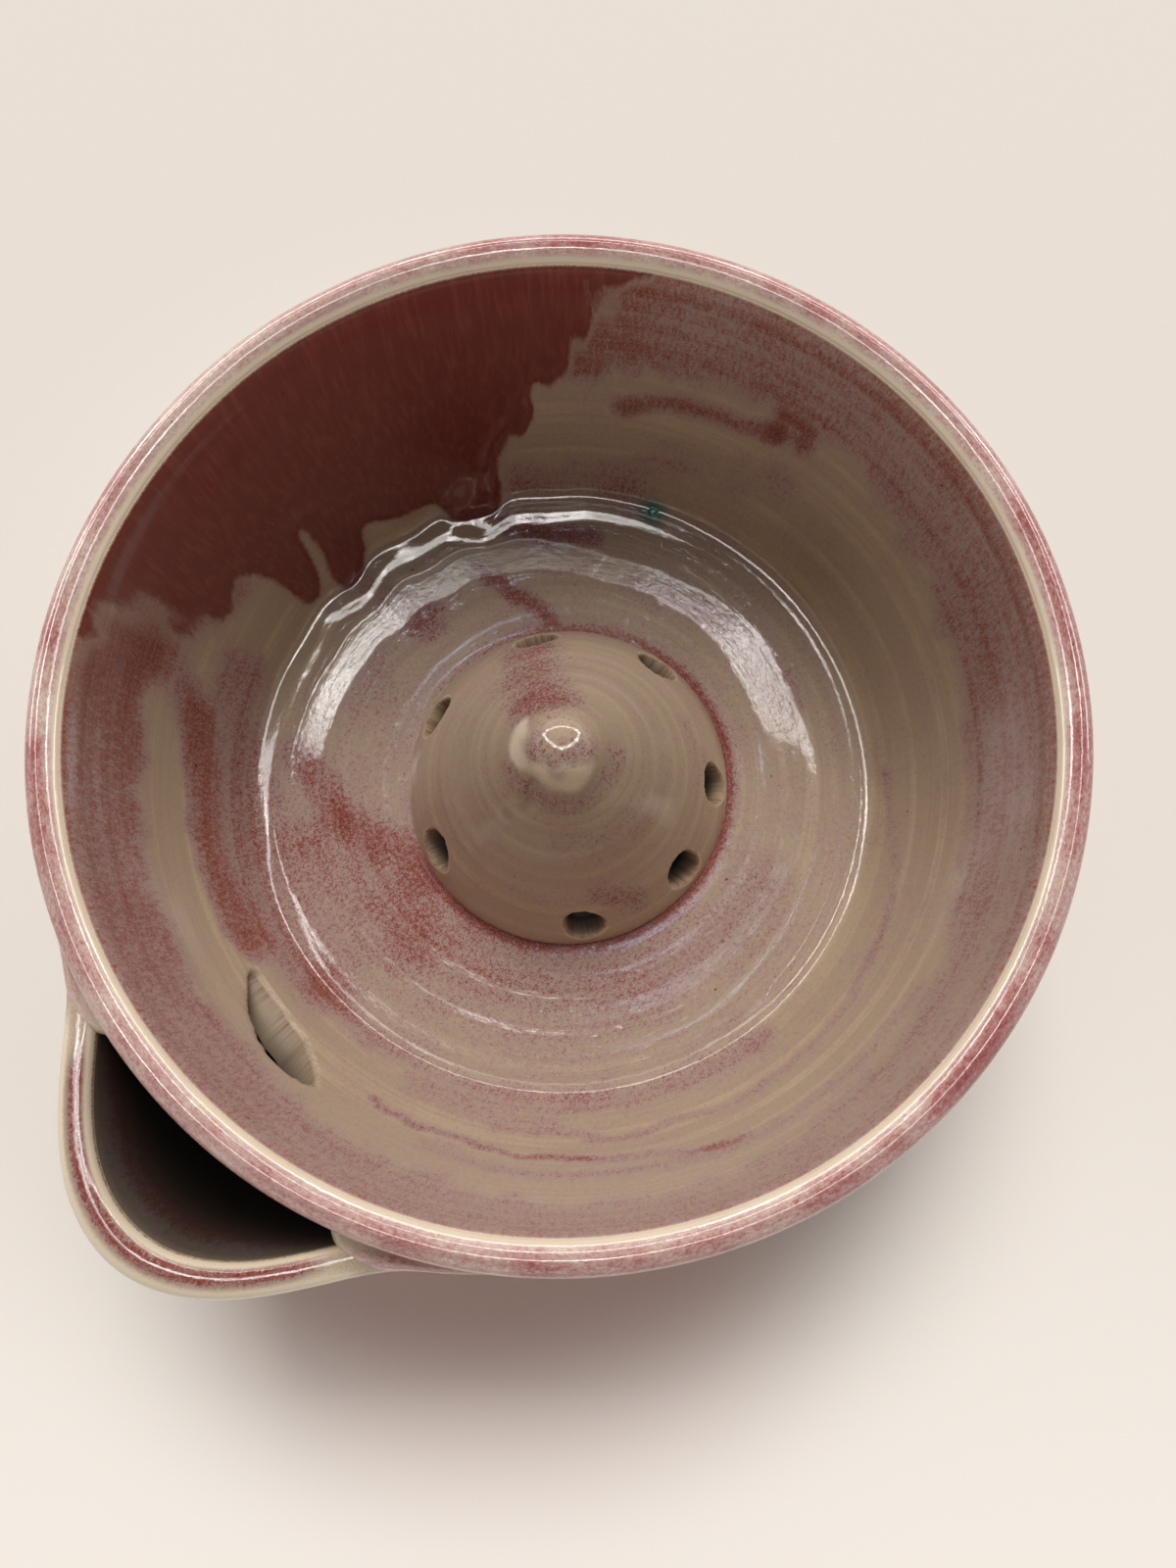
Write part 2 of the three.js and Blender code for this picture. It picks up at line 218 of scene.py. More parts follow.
# Outer bowl: the full-bellied wall and floor that catch the water. It is thrown in one lump and dipped in a
# copper-red glaze that runs while it melts, thick and dark low down and thin over the throwing ridges.
outer_columns = 432
window_columns = 117
collar_points = 5
belly_points = 400
belly_end = collar_points + belly_points
outer_wall = 5.0
outer_top_wall = 2.95
wall_top = 81.5
outer_floor = 9.3
spout_root = 35.5
shoulder_angle = math.radians(46)
glaze_line = 9.0
ring_climb = 3.0
ring_slope = 0.011
ring_waver = 0.02
no_pool = -20.0
top_line_pale = 0.72
ring_pale = 0.28
greige = (0.430, 0.335, 0.226, 1)
tan = (0.545, 0.430, 0.275, 1)
rose_grey = (0.400, 0.290, 0.232, 1)
mauve = (0.370, 0.233, 0.226, 1)
rose = (0.308, 0.135, 0.106, 1)
brick = (0.250, 0.062, 0.040, 1)
oxblood = (0.170, 0.029, 0.023, 1)
cream = (0.760, 0.640, 0.480, 1)
iron_brown = (0.035, 0.018, 0.014, 1)
copper_green = (0.010, 0.130, 0.120, 1)
# The colour of the painted shade in the hollows and recesses.
painted_shade_black = (0.010, 0.008, 0.006, 1)
red_coat = [(0.20, greige), (0.36, rose_grey), (0.46, mauve), (0.57, rose), (0.70, brick), (0.95, oxblood)]


def run_length(profile):
    """How far along a profile each of its points is."""
    return np.concatenate([[0], np.cumsum(np.hypot(*np.diff(profile, axis=0).T))])


def spaced(profile, runs):
    """The points of a profile at these distances along it."""
    along = run_length(profile)
    return np.stack([np.interp(runs, along, profile[:, 0]), np.interp(runs, along, profile[:, 1])], axis=-1)


def sideways(profile):
    """The direction to the left of each point of a profile, as one walks along it."""
    run = np.gradient(profile, axis=0)
    run /= np.hypot(run[:, 0], run[:, 1])[:, None]
    return np.stack([-run[:, 1], run[:, 0]], axis=-1)


def reckon(tree, operation, a, b=0.0, c=0.0):
    """A sum done in the shader."""
    return add(tree, "Math", {0: a, 1: b, 2: c}, operation=operation)


def shades(tree, value, stops):
    """Colours along a value from 0 to 1, from the first stop to the last."""
    node = add(tree, "ValToRGB", {"Fac": value}).node
    ends = node.color_ramp.elements
    ends[0].position, ends[0].color = stops[0]
    ends[1].position, ends[1].color = stops[-1]
    for place, colour in stops[1:-1]:
        ends.new(place).color = colour
    return node.outputs["Color"]


def mixed_in(tree, value, noise, amount):
    """A value with some noise added, which is centred first."""
    return reckon(tree, "MULTIPLY_ADD", noise, amount, reckon(tree, "ADD", value, -0.5 * amount))


def copper_glaze(name, coat, hair=(1, 1, 0.3), ring_pull=0.5, gloss=0.08, speckle=1.5, bands=0.7):
    """The glaze: beige where it is thin, mauve to brick red where there is more copper, oxblood in pools.
    Marked on each point: flow, blush (how red), pour (mm inside a pool), pale, bare, stain and hollow,
    which is painted shade that darkens the colour towards black in the hollows and recesses."""
    finish, tree, surface = new_finish(name)
    flow = marked(tree, "flow")
    hairs = mottle(tree, flow, hair, 1.2, 3, 0.65)
    grains = mottle(tree, flow, (hair[0], hair[1], 0.5 + 0.5 * hair[2]), 2.6, 2, 0.6)
    rings = mottle(tree, flow, (0.01, 0.01, 1), 0.24, 3, 0.55)
    clouds = mottle(tree, flow, (1, 1, 0.6), 0.07, 3, 0.55)

    # The copper comes out as speckle: more of it, and then all over, as the blush rises.
    copper = mixed_in(tree, marked(tree, "blush"), rings, ring_pull)
    copper = mixed_in(tree, copper, clouds, 0.45)
    normal = add(tree, "NewGeometry", {}).node.outputs["Normal"]
    level = reckon(tree, "ABSOLUTE", add(tree, "SeparateXYZ", {0: normal}).node.outputs["Z"])
    amount = rise(tree, level, 0.3, 0.85, 0.62 * speckle, speckle)
    mixed = reckon(tree, "ADD", reckon(tree, "ADD", hairs, grains), -1.0)
    speck = reckon(tree, "MULTIPLY_ADD", mixed, amount, copper)
    colour = shades(tree, reckon(tree, "MULTIPLY_ADD", speck, 0.625, 0.125), coat)
    thin = rise(tree, rings, 0.47, 0.62, 0, bands)
    thin = reckon(tree, "MULTIPLY", thin, rise(tree, copper, 0.20, 0.50, 1, 0))
    colour = blend(tree, thin, colour, tan)
    lines = mottle(tree, flow, (0.02, 0.02, 1), 1.5, 2, 0.5)
    colour = blend(tree, rise(tree, lines, 0.5, 0.68, 0, 0.3), colour, mauve)
    sand = mottle(tree, flow, (1, 1, 0.7), 1.9, 3, 0.75)
    colour = blend(tree, rise(tree, sand, 0.50, 0.66, 0, 0.5), colour, mauve)

    # Pools of thick glaze are oxblood. A greyish skin shows at their edges.
    pool = mixed_in(tree, mixed_in(tree, marked(tree, "pour"), hairs, 1.6), clouds, 1.0)
    colour = blend(tree, rise(tree, pool, -2.6, -0.6, 0, 0.55), colour, rose_grey)
    streaks = mottle(tree, flow, (1, 1, 0.08), 0.9, 3, 0.6)
    deep = blend(tree, rise(tree, streaks, 0.42, 0.72, 0, 0.6), oxblood, brick)
    colour = blend(tree, rise(tree, pool, -0.7, 0.9), colour, deep)

    # Edges where the glaze runs thin break to cream, and the clay's iron bleeds through in a few specks.
    broken = mixed_in(tree, marked(tree, "pale"), grains, 0.5)
    colour = blend(tree, rise(tree, broken, 0.2, 0.8), colour, cream)
    colour = blend(tree, marked(tree, "stain"), colour, copper_green)
    iron = add(tree, "TexVoronoi", {"Vector": flow, "Scale": 0.085})
    colour = blend(tree, rise(tree, iron, 0.022, 0.034, 0.8, 0), colour, iron_brown)
    bare = rise(tree, mixed_in(tree, marked(tree, "bare"), grains, 0.5), 0.35, 0.65)
    colour = blend(tree, bare, colour, blend(tree, rise(tree, hairs, 0.4, 0.6), clay_buff, clay_toast))
    # Painted shade: the hollow mark blends the colour towards near black in recesses, where shade falls.
    hollow = marked(tree, "hollow")
    colour = blend(tree, hollow, colour, painted_shade_black)
    tree.links.new(colour, surface.inputs["Base Color"])

    steep = rise(tree, level, 0.30, 0.60, 0.13, 0)
    rough = reckon(tree, "MULTIPLY_ADD", grains, 0.08, reckon(tree, "ADD", steep, gloss - 0.02))
    dull = reckon(tree, "MAXIMUM", bare, rise(tree, hollow, 0.02, 0.2, 0, 0.35))
    tree.links.new(reckon(tree, "MULTIPLY_ADD", dull, 0.7, rough), surface.inputs["Roughness"])
    tree.links.new(rise(tree, dull, 0, 0.3, 0.2, 0), surface.inputs["Coat Weight"])
    surface.inputs["IOR"].default_value = 1.5
    surface.inputs["Coat Roughness"].default_value = 0.07
    ripple = mottle(tree, flow, (1, 1, 0.6), 0.42, 2, 0.5)
    lift = reckon(tree, "MULTIPLY_ADD", lines, 0.3, ripple)
    lift = reckon(tree, "MULTIPLY_ADD", hairs, 0.06, lift)
    skin_bump = add(tree, "Bump", {"Height": lift, "Strength": 0.09, "Distance": 0.0006})
    tree.links.new(skin_bump, surface.inputs["Normal"])
    return finish


def flow_of(points, runs):
    """Marks for the glaze to run along: X and Y across it, and the way down the pot in Z."""
    return np.stack([points[..., 0], points[..., 1], np.broadcast_to(runs, points.shape[:2])], axis=-1)


def walled(depth, joined=(True, True)):
    """Faces of a wall between two grids. Cells below zero depth are cut out and their edges joined."""
    rows, columns = depth.shape
    flat = depth.ravel()
    inner_start = rows * columns
    kept = []
    for cell in skin(rows, columns):
        level = [flat[p] for p in cell]
        below = [p for p, d in zip(cell, level) if d < 0]
        if max(level) <= 0 or len(below) > 1:
            continue
        kept.append([p for p in cell if p not in below])
    faces = kept + [[p + inner_start for p in reversed(cell)] for cell in kept]
    used = {}
    for cell in kept:
        for a, b in zip(cell, cell[1:] + cell[:1]):
            used[(min(a, b), max(a, b))] = used.get((min(a, b), max(a, b)), 0) + 1
    last = (rows - 1) * columns
    for (a, b), count in used.items():
        on_first = a < columns and b < columns
        on_last = a >= last and b >= last
        if count == 1 and not (on_first and not joined[0]) and not (on_last and not joined[1]):
            faces.append([a, b, b + inner_start, a + inner_start])
    for row, is_joined in ((0, joined[0]), (rows - 1, joined[1])):
        if not is_joined:
            faces.append(ring_of(row, columns))
            faces.append([p + inner_start for p in ring_of(row, columns)])
    return faces


def two_grids(front, back):
    """The points of both faces of a wall in one list."""
    return np.concatenate([front.reshape(-1, 3), back.reshape(-1, 3)])


def lifted(profile, face, lift, angles):
    """A profile thrown round the wheel, with each point moved out of its surface by its lift."""
    return thrown(profile[:, :1] + face[:, :1] * lift, profile[:, 1:] + face[:, 1:] * lift, angles)


def bell(value, centre, width):
    """1 at the centre, falling off on both sides."""
    return np.exp(-((value - centre) / width) ** 2)


outer_curve = np.vstack([
    bent([(89.6, 82.6), (89.6, wall_top)], collar_points + 1)[:-1],
    bent([(89.6, wall_top), (96.5, 61.5), (99.7, 13.8), (59.0, 4.3)], belly_points),
    [(50.0, 4.1), (0.5, 4.1)],
])
outer_along = run_length(outer_curve)
outer_root = np.interp(spout_root, outer_curve[:belly_end, 1][::-1], outer_along[:belly_end][::-1])
outer_edge = outer_along[belly_end]
outer_runs = np.concatenate([
    np.linspace(0, outer_root, 46),
    np.linspace(outer_root, outer_edge, 46)[1:],
    [outer_along[-1] - 25, outer_along[-1]],
])
outer_profile = spaced(outer_curve, outer_runs)
outer_out = sideways(outer_profile)
outer_thick = np.interp(outer_runs, [0, 35], [outer_top_wall, outer_wall])[:, None]
outer_inside = outer_profile - outer_out * outer_thick
outer_inside[:, 1] = np.maximum(outer_inside[:, 1], outer_floor)
outer_inside[-2:, 0] = outer_profile[-2:, 0]
window_angles = np.linspace(-shoulder_angle, shoulder_angle, window_columns)
far_columns = outer_columns - window_columns
far_angles = np.linspace(shoulder_angle, 2 * math.pi - shoulder_angle, far_columns + 2)[1:-1]
outer_angles = np.concatenate([window_angles, far_angles])
outer_plain = spun(outer_profile, outer_angles)
outer_run_grid = np.broadcast_to(outer_runs[:, None], outer_plain.shape[:2])


def ridges(points, runs, angles, seed):
    """The rings that a potter's fingers leave, as a height from -1 to 1. They climb slowly round the pot."""
    climb = runs + np.degrees(angles) * ring_slope
    slow = np.stack([points[..., 0] * ring_waver, points[..., 1] * ring_waver, climb], axis=-1)
    return 0.65 * bumps(slow, 5.5, seed) + 0.35 * bumps(slow, 2.4, seed + 1)


outer_ridges = ridges(outer_plain, outer_run_grid, ring_climb * np.sin(outer_angles), 11)
outer_ring = outer_plain * (1, 1, 0)
outer_drips = glaze_line + 5 * bumps(outer_ring, 11, 12) + 2.5 * bumps(outer_ring, 5, 13)
above_drips = outer_plain[..., 2] - outer_drips
glazed = smooth_step(-0.4, 1.2, above_drips)
glaze_roll = bell(above_drips, 2.2, 1.8)
outer_lift = 0.22 * outer_ridges * smooth_step(0, 6, outer_run_grid)
outer_lift = outer_lift + 0.35 * (glazed - 1) + 0.45 * glaze_roll
outer_lift = np.where(outer_run_grid > outer_edge + 1, 0, outer_lift)
column_angle = np.abs((outer_angles + math.pi) % (2 * math.pi) - math.pi)[None, :]
at_window = smooth_step(0, math.radians(9), column_angle - shoulder_angle)
near_spout = smooth_step(0, 12, outer_run_grid - outer_root)
outer_lift = outer_lift * np.maximum(at_window, near_spout)
outer_front = lifted(outer_profile, outer_out, outer_lift, outer_angles)
outer_back = spun(outer_inside, outer_angles)
in_window = np.sign(np.maximum(column_angle - shoulder_angle + 1e-9, outer_run_grid - outer_root) - 1e-6)
window_edge = (np.abs(column_angle - shoulder_angle) < 1e-6) & (outer_run_grid <= outer_root + 1e-6)
window_edge |= (np.abs(outer_run_grid - outer_root) < 1e-6) & (column_angle <= shoulder_angle + 1e-6)
window_depth = np.where(window_edge, 0, in_window)


def outside_blush(points, runs):
    """How red the outside of the bowl is: pale under the rim, redder and streaked further down."""
    streaks = bumps(points * (1, 1, 0.12), 9, 21) + 0.6 * bumps(points * (1, 1, 0.2), 4, 22)
    drift = bumps(points * (1, 1, 0.5), 38, 23)
    return 0.34 + 0.34 * smooth_step(2, 26, runs) + 0.16 * streaks + 0.18 * drift


def outside_pour(points, runs):
    """Millimetres inside the oxblood pools on the outside, which hang in curtains on one side."""
    angle = np.arctan2(points[..., 1], points[..., 0])
    ring = points * (1, 1, 0)
    curtain = 52 + 16 * np.cos(angle + 2.2) + 9 * bumps(ring, 19, 24) + 3 * bumps(ring, 9, 25)
    return runs - curtain


def both_sides(front_values, back_value=0.3):
    """Marks for the front grid of a wall, and one value for its hidden back."""
    front_values = np.ravel(front_values)
    return np.concatenate([front_values, np.full(front_values.shape, back_value)])


outer_pale = top_line_pale * smooth_step(3.5, 0.5, outer_run_grid) + ring_pale * np.clip(outer_ridges, 0, 1)
outer_marks = {
    "flow": two_grids(flow_of(outer_front, outer_run_grid), flow_of(outer_back, outer_run_grid)),
    "blush": both_sides(outside_blush(outer_plain, outer_run_grid)),
    "pour": both_sides(outside_pour(outer_plain, outer_run_grid), no_pool),
    "pale": both_sides(outer_pale, 0),
    "bare": both_sides(1 - glazed, 0),
    # Painted shade: the hidden inside face of the outer wall, seen only through openings, is painted near
    # black.
    "hollow": both_sides(np.zeros(outer_run_grid.shape), 1),
}
outside_glaze = copper_glaze("outside_copper_glaze", red_coat)
outer_faces = walled(window_depth, joined=(True, False))
outer_points = two_grids(outer_front, outer_back)
outer_bowl = fire("outer_bowl_wall", outer_points, outer_faces, outer_marks, outside_glaze)
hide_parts("outer_bowl")

# Spout: the stretch of outer wall that is slit along the rim while the clay is soft, and pulled out between
# finger and thumb to a rounded lip. The glaze runs thin over the lip's edges and stays crimson on its top.
spout_rows = 40
lip_rows = 25
spout_reach = 20.5
spout_half_angle = math.radians(26)
shoulder_reach = 8.0
lip_top = 84.3
lip_width = 6.8
lip_swell = 0.6
corner_drop = 1.4
mouth_angle = math.radians(16.5)


def hump(angle, half_angle):
    """A smooth hump of height 1 that is gone at its half angle."""
    return np.where(np.abs(angle) < half_angle, np.cos(0.5 * math.pi * angle / half_angle) ** 2, 0)


def pull(angle):
    """How far the wall is pulled out at the lip's level."""
    return spout_reach * hump(angle, spout_half_angle) + shoulder_reach * hump(angle, shoulder_angle)


def spout_face(angle, height):
    """The radius of the pulled wall's outside."""
    belly = outer_curve[collar_points:belly_end][::-1]
    wall = np.interp(np.minimum(height, wall_top), belly[:, 1], belly[:, 0])
    return wall + pull(angle) * ((height - spout_root) / (lip_top - spout_root)) ** 2


def closed_strip(rows, columns):
    """The faces of a strip whose rows close into a loop, with a flat face at each end."""
    last = (rows - 1) * columns
    faces = skin(rows, columns, around=False)
    faces += [[k, k + 1, last + k + 1, last + k] for k in range(columns - 1)]
    faces += [[row * columns + end for row in range(rows)] for end in (0, columns - 1)]
    return faces


spout_sections = []
for angle in window_angles:
    corner = float(smooth_step(mouth_angle - math.radians(1), mouth_angle + math.radians(9), abs(angle)))
    top_wall = min(outer_top_wall + lip_swell * float(pull(angle)), lip_width)
    half = top_wall / 2
    crown = half * 0.95
    crown_z = lip_top - crown - corner_drop * corner
    face_heights = np.linspace(spout_root, crown_z, spout_rows)
    outside = np.stack([spout_face(angle, face_heights), face_heights], axis=-1)
    turn = np.linspace(0, math.pi, lip_rows)[1:-1]
    middle = spout_face(angle, crown_z) - half
    dip = 1 - 0.06 * np.sin(turn) ** 6
    lip = np.stack([middle + half * np.cos(turn), crown_z + crown * dip * np.sin(turn) ** 0.85], axis=-1)
    thick = np.interp(face_heights, [spout_root, crown_z], [outer_wall, top_wall])
    inside = np.stack([spout_face(angle, face_heights) - thick, face_heights], axis=-1)[::-1]
    spout_sections.append(np.vstack([outside, lip, inside]))
spout_sections = np.array(spout_sections).transpose(1, 0, 2)
spout_runs = np.array([run_length(spout_sections[:, k]) for k in range(window_columns)]).T
lip_middle = spout_rows + lip_rows // 2 - 1
from_lip = spout_runs - spout_runs[lip_middle]
spout_points = thrown(spout_sections[..., 0], spout_sections[..., 1], window_angles)
spout_hand = 0.25 * bumps(spout_points, 16, 31) + 0.10 * bumps(spout_points, 7, 32)
spout_points[..., 2] += spout_hand * smooth_step(18, 4, np.abs(from_lip))
from_middle = np.abs(window_angles)[None, :]
mouth_share = smooth_step(mouth_angle + math.radians(4), mouth_angle, from_middle)
crimson_share = smooth_step(mouth_angle + math.radians(1), mouth_angle - math.radians(3), from_middle)
lip_end = 0.45 + 0.55 * smooth_step(mouth_angle + math.radians(9), mouth_angle, from_middle)
near_mouth = smooth_step(shoulder_angle, math.radians(22), from_middle)
on_outside = from_lip < 0
on_top = crimson_share * bell(from_lip, 0.9, 1.75)
edge_line = mouth_share * np.maximum(bell(from_lip, -2.8, 1.2), bell(from_lip, 4.3, 0.6))
spout_outside_run = outer_root - spout_runs
spout_blush = np.where(on_outside, outside_blush(spout_points, np.clip(spout_outside_run, 0, 60)), 0.95)
spout_blush = spout_blush * (1 - 0.8 * near_mouth * smooth_step(12, 5, np.abs(from_lip))) + 0.85 * on_top
spout_rings = np.clip(ridges(spout_points, spout_outside_run, ring_climb * np.sin(window_angles), 11), 0, 1)
lip_pale = 0.42 * smooth_step(6, 3.5, np.abs(from_lip)) * (1 - on_top) + 0.5 * bell(from_lip, 3.3, 0.8)
wall_pale = top_line_pale * smooth_step(3.5, 0.5, spout_outside_run) * (1 - near_mouth)
wall_pale = wall_pale + ring_pale * spout_rings
spout_pale = near_mouth * (0.95 * edge_line + lip_end * lip_pale) + on_outside * wall_pale
spout_marks = {
    "flow": flow_of(spout_points, spout_outside_run).reshape(-1, 3),
    "blush": spout_blush.ravel(),
    "pour": np.where(from_lip < -8, outside_pour(spout_points, spout_outside_run), no_pool).ravel(),
    "pale": spout_pale.ravel(),
    "bare": (0.72 * mouth_share * bell(from_lip, 4.5, 0.5)).ravel(),
    # Painted shade: the inside of the spout is painted near black from just below the lip, darker further
    # down.
    "hollow": (0.84 * smooth_step(4.7, 5.4, from_lip) + 0.16 * smooth_step(6, 18, from_lip)).ravel(),
}
spout_faces = closed_strip(len(spout_sections), window_columns)
spout = fire("pulled_spout", spout_points, spout_faces, spout_marks, outside_glaze)
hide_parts("spout")

# Shoulders: clay that is pinched up on each side of the mouth and smoothed with a wet finger, so that the
# spout runs into the rim. Each starts as a rounded web in the mouth's corner and thins away along the rim.
shoulder_nose = math.radians(14.9)
shoulder_slant = math.radians(8)
shoulder_top = 85.6
shoulder_low = 82.4
shoulder_edge = 80.9
shoulder_root = 88.9
shoulder_columns = 64
over_rows = 18
face_rows = 6
rim_cream = (0.720, 0.590, 0.490, 1)
rim_pink = (0.610, 0.425, 0.375, 1)
rim_rose = (0.520, 0.290, 0.262, 1)
crimson = (0.390, 0.125, 0.120, 1)
deep_crimson = (0.250, 0.040, 0.042, 1)
rim_coat = [(0.12, rim_cream), (0.30, rim_pink), (0.45, rim_rose), (0.60, crimson), (0.85, deep_crimson)]
rim_glaze = copper_glaze(
    "rim_cream_glaze", rim_coat, hair=(0.6, 0.6, 1), ring_pull=0.2, gloss=0.06, speckle=0.95, bands=0.0
)


def shoulder_web(name, node, side):
    """The web of clay on one side of the mouth."""
    turn = np.linspace(0, 0.5 * math.pi, over_rows)[:, None]
    lean = np.vstack([np.sin(turn) ** 1.4, np.ones((face_rows, 1)), [[0.85], [0.7], [0.3], [0.1]]])
    share = np.linspace(0, 1, shoulder_columns)
    start = shoulder_nose + shoulder_slant * lean
    angles = start + (shoulder_angle - math.radians(0.5) - start) * share
    over_angles, face_angles, hidden_angles = np.split(angles[:-2], [over_rows, over_rows + face_rows])

    # Over the top from the rim, down the outside, and back underneath, where it is hidden.
    nose = np.sqrt(np.clip(1 - (1 - np.clip(share / 0.22, 0, 1)) ** 2, 0, 1))
    top = shoulder_low + (shoulder_top - shoulder_low) * (1 - share) ** 1.3 * nose
    sink = 0.6 * smooth_step(0.3, 0.9, share)
    outer = spout_face(over_angles, wall_top) + 0.12 - sink
    groove = 0.3 * bell(turn, 0.12, 0.2) * (1 - share) ** 2
    below = np.linspace(80.4, 77.6, face_rows)[:, None]
    radius = np.vstack([
        shoulder_root + (outer - shoulder_root) * np.sin(turn) ** 0.9,
        spout_face(face_angles, below) + np.linspace(0.1, -0.25, face_rows)[:, None] - sink,
        np.maximum(spout_face(hidden_angles, 78.0) - 3.0, 88.0),
        np.full((2, shoulder_columns), 88.2),
    ])
    height = np.vstack([
        shoulder_edge + (top - shoulder_edge) * np.cos(turn) ** 0.75 - groove,
        np.vstack([below, [[78.4], [79.8], [80.4], [81.2]]]) * np.ones_like(share),
    ])
    points = thrown(radius, height, side * angles)
    points[..., 2] += 0.15 * bumps(points, 9, 41)
    rows = len(points)
    faces = closed_strip(rows, shoulder_columns)
    along = np.broadcast_to(share, radius.shape)
    over = np.broadcast_to(np.linspace(0, 1, rows)[:, None], radius.shape)
    web = 0.5 * smooth_step(0.24, 0.0, along) + bell(over, 0.06, 0.09) * smooth_step(0.7, 0.2, along)
    blush = 0.34 + 0.26 * bell(over, 0.50, 0.16) * smooth_step(0.02, 0.3, along)
    far_end = smooth_step(0.4, 0.95, along)
    blush = (blush + 0.16 * bumps(points, 6, 42)) * (1 - 0.65 * far_end)
    marks = {
        "flow": flow_of(points, over * 22).reshape(-1, 3),
        "blush": blush.ravel(),
        "pour": np.full(along.size, no_pool),
        "pale": np.clip(0.45 * web + 0.7 * far_end * smooth_step(0.86, 0.66, over), 0, 1).ravel(),
    }
    made = fire(name, points, faces, marks, rim_glaze)
    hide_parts(node)


shoulder_web("left_shoulder", "spout_shoulder_left", 1)
shoulder_web("right_shoulder", "spout_shoulder_right", -1)

# Inner bowl: the steep wall and shallow floor that hold the berries. It is thrown on its own and set in the
# outer bowl. The oxblood was poured over one side, and a leaf-shaped slot is cut through to face the spout.
inner_wall = 5.0
inner_top_wall = 2.2
turn_radius = 5.5
turn_centre = (63.74, 31.58)
facet_tilt = 0.0945
floor_start = 62.0
pour_radius = 74.0
brush_spread = 1.25
slot_centre_run = 35.0
slot_centre = -7.6
slot_tilt = math.radians(22)
slot_half_length = 14.0
slot_half_height = 5.4
slot_edge = 0.7
slot_radius = 77.3
bead_angle = -158.0
bead_run = 59.2
rim_middle = (86.65, 86.0)
rim_circle = 86.6
round_softness = 0.7
round_step = 0.25
turn_slope = np.radians(np.linspace(62, 3.7, 60))
inner_curve = np.vstack([
    [(84.7, 89.35), (84.2, 89.0), (83.82, 88.5), (83.5, 87.6), (83.32, 86.4), (83.28, 84.2), (83.33, 82.6)],
    bent([(83.4, wall_top), (83.4, 62.0), (78.2, 47.3), (70.5, 32.6)], 300),
    np.stack([np.sin(turn_slope), -np.cos(turn_slope)], axis=-1) * turn_radius + turn_centre,
    bent([(64.1, 26.09), (34.4, 24.2)], 60)[1:],
])
inner_seam = run_length(inner_curve)[7]
inner_end = run_length(inner_curve)[-1] - inner_seam
inner_runs = inner_seam + np.concatenate([
    np.linspace(-inner_seam, 0, 9),
    np.linspace(0, 53, 49)[1:],
    np.linspace(53, 66, 29)[1:],
    np.linspace(66, inner_end, 32)[1:],
])
inner_profile = spaced(inner_curve, inner_runs)
inner_face = -sideways(inner_profile)
inner_angles = np.radians(np.concatenate([
    np.linspace(-165, -60, 168, endpoint=False),
    np.linspace(-60, -25, 27, endpoint=False),
    np.linspace(-25, 10, 63, endpoint=False),
    np.linspace(10, 195, 142, endpoint=False),
]))
inner_plain = spun(inner_profile, inner_angles)
inner_run = np.broadcast_to(inner_runs[:, None] - inner_seam, inner_plain.shape[:2])
inner_degrees = (np.degrees(np.broadcast_to(inner_angles, inner_run.shape)) + 180) % 360 - 180
inner_radius = np.broadcast_to(inner_profile[:, :1], inner_run.shape)


def turned_from(degrees, centre):
    """Degrees from a centre, between -180 and 180."""
    return (degrees - centre + 180) % 360 - 180


def about(degrees, centre, gone, full):
    """1 within some degrees of a centre, falling to 0 where it is gone."""
    return smooth_step(gone, full, np.abs(turned_from(degrees, centre)))


def round_table(degrees, rows):
    """A value that is read off a table of degrees and values, all the way round."""
    rows = sorted(rows)
    around = np.arange(0, 360, round_step)
    values = np.interp(around, [r[0] for r in rows], [r[1] for r in rows], period=360)
    waves = math.pi * round_softness * np.fft.fftfreq(len(around), round_step)
    softened = np.fft.ifft(np.fft.fft(values) * np.exp(-2 * waves**2)).real
    return np.interp(degrees, around, softened, period=360)


def stroke(degrees, runs, radius, path, width):
    """1 along a brush stroke through these angles and runs, falling to 0 at its width in millimetres."""
    nearest = np.full(runs.shape, 1e6)
    for (angle_a, run_a), (angle_b, run_b) in zip(path, path[1:] or path):
        across = math.radians(1) * radius
        px = turned_from(degrees, angle_a) * across
        py = runs - run_a
        dx = turned_from(angle_b, angle_a) * across
        dy = run_b - run_a
        share = np.clip((px * dx + py * dy) / np.maximum(dx * dx + dy * dy, 1e-9), 0, 1)
        nearest = np.minimum(nearest, np.hypot(px - share * dx, py - share * dy))
    return np.clip(1 - (nearest / width) ** 2, 0, 1) ** 1.5


# The outline of the poured oxblood, as angles and runs from the rim: fingers, a fat drop, and gaps between.
pour_edge = [
    (-147, -12), (-145.9, -2), (-145.1, 6.8), (-143.2, 15.8), (-140.3, 23.6), (-136.6, 29.5),
    (-135.8, 34.6), (-132.8, 39.4), (-130.3, 42.9), (-128.6, 47.5), (-128.2, 55), (-126.6, 60),
    (-122.4, 61.8), (-117.9, 59.7), (-116.5, 56.5), (-115.2, 53.6), (-111.9, 52.4), (-107.4, 51.1),
    (-103.8, 49.1), (-101.6, 49.4), (-100, 54.8), (-97.1, 58.2), (-94.2, 58.8), (-92.0, 57.2),
    (-92.0, 52), (-93.2, 46), (-93.4, 41), (-92.9, 37.5), (-92.3, 40), (-91.6, 45), (-90.2, 51),
    (-87.8, 54.6), (-85.5, 53.9), (-84.7, 48.8), (-84.1, 41.7), (-82.9, 36.2), (-81.2, 32.6),
    (-79.4, 32.6), (-75.9, 35.8), (-73.2, 35.2), (-71.4, 31), (-69.6, 25), (-71.5, 18), (-71, 12),
    (-69, 6), (-66.5, 0), (-64, -12),
]
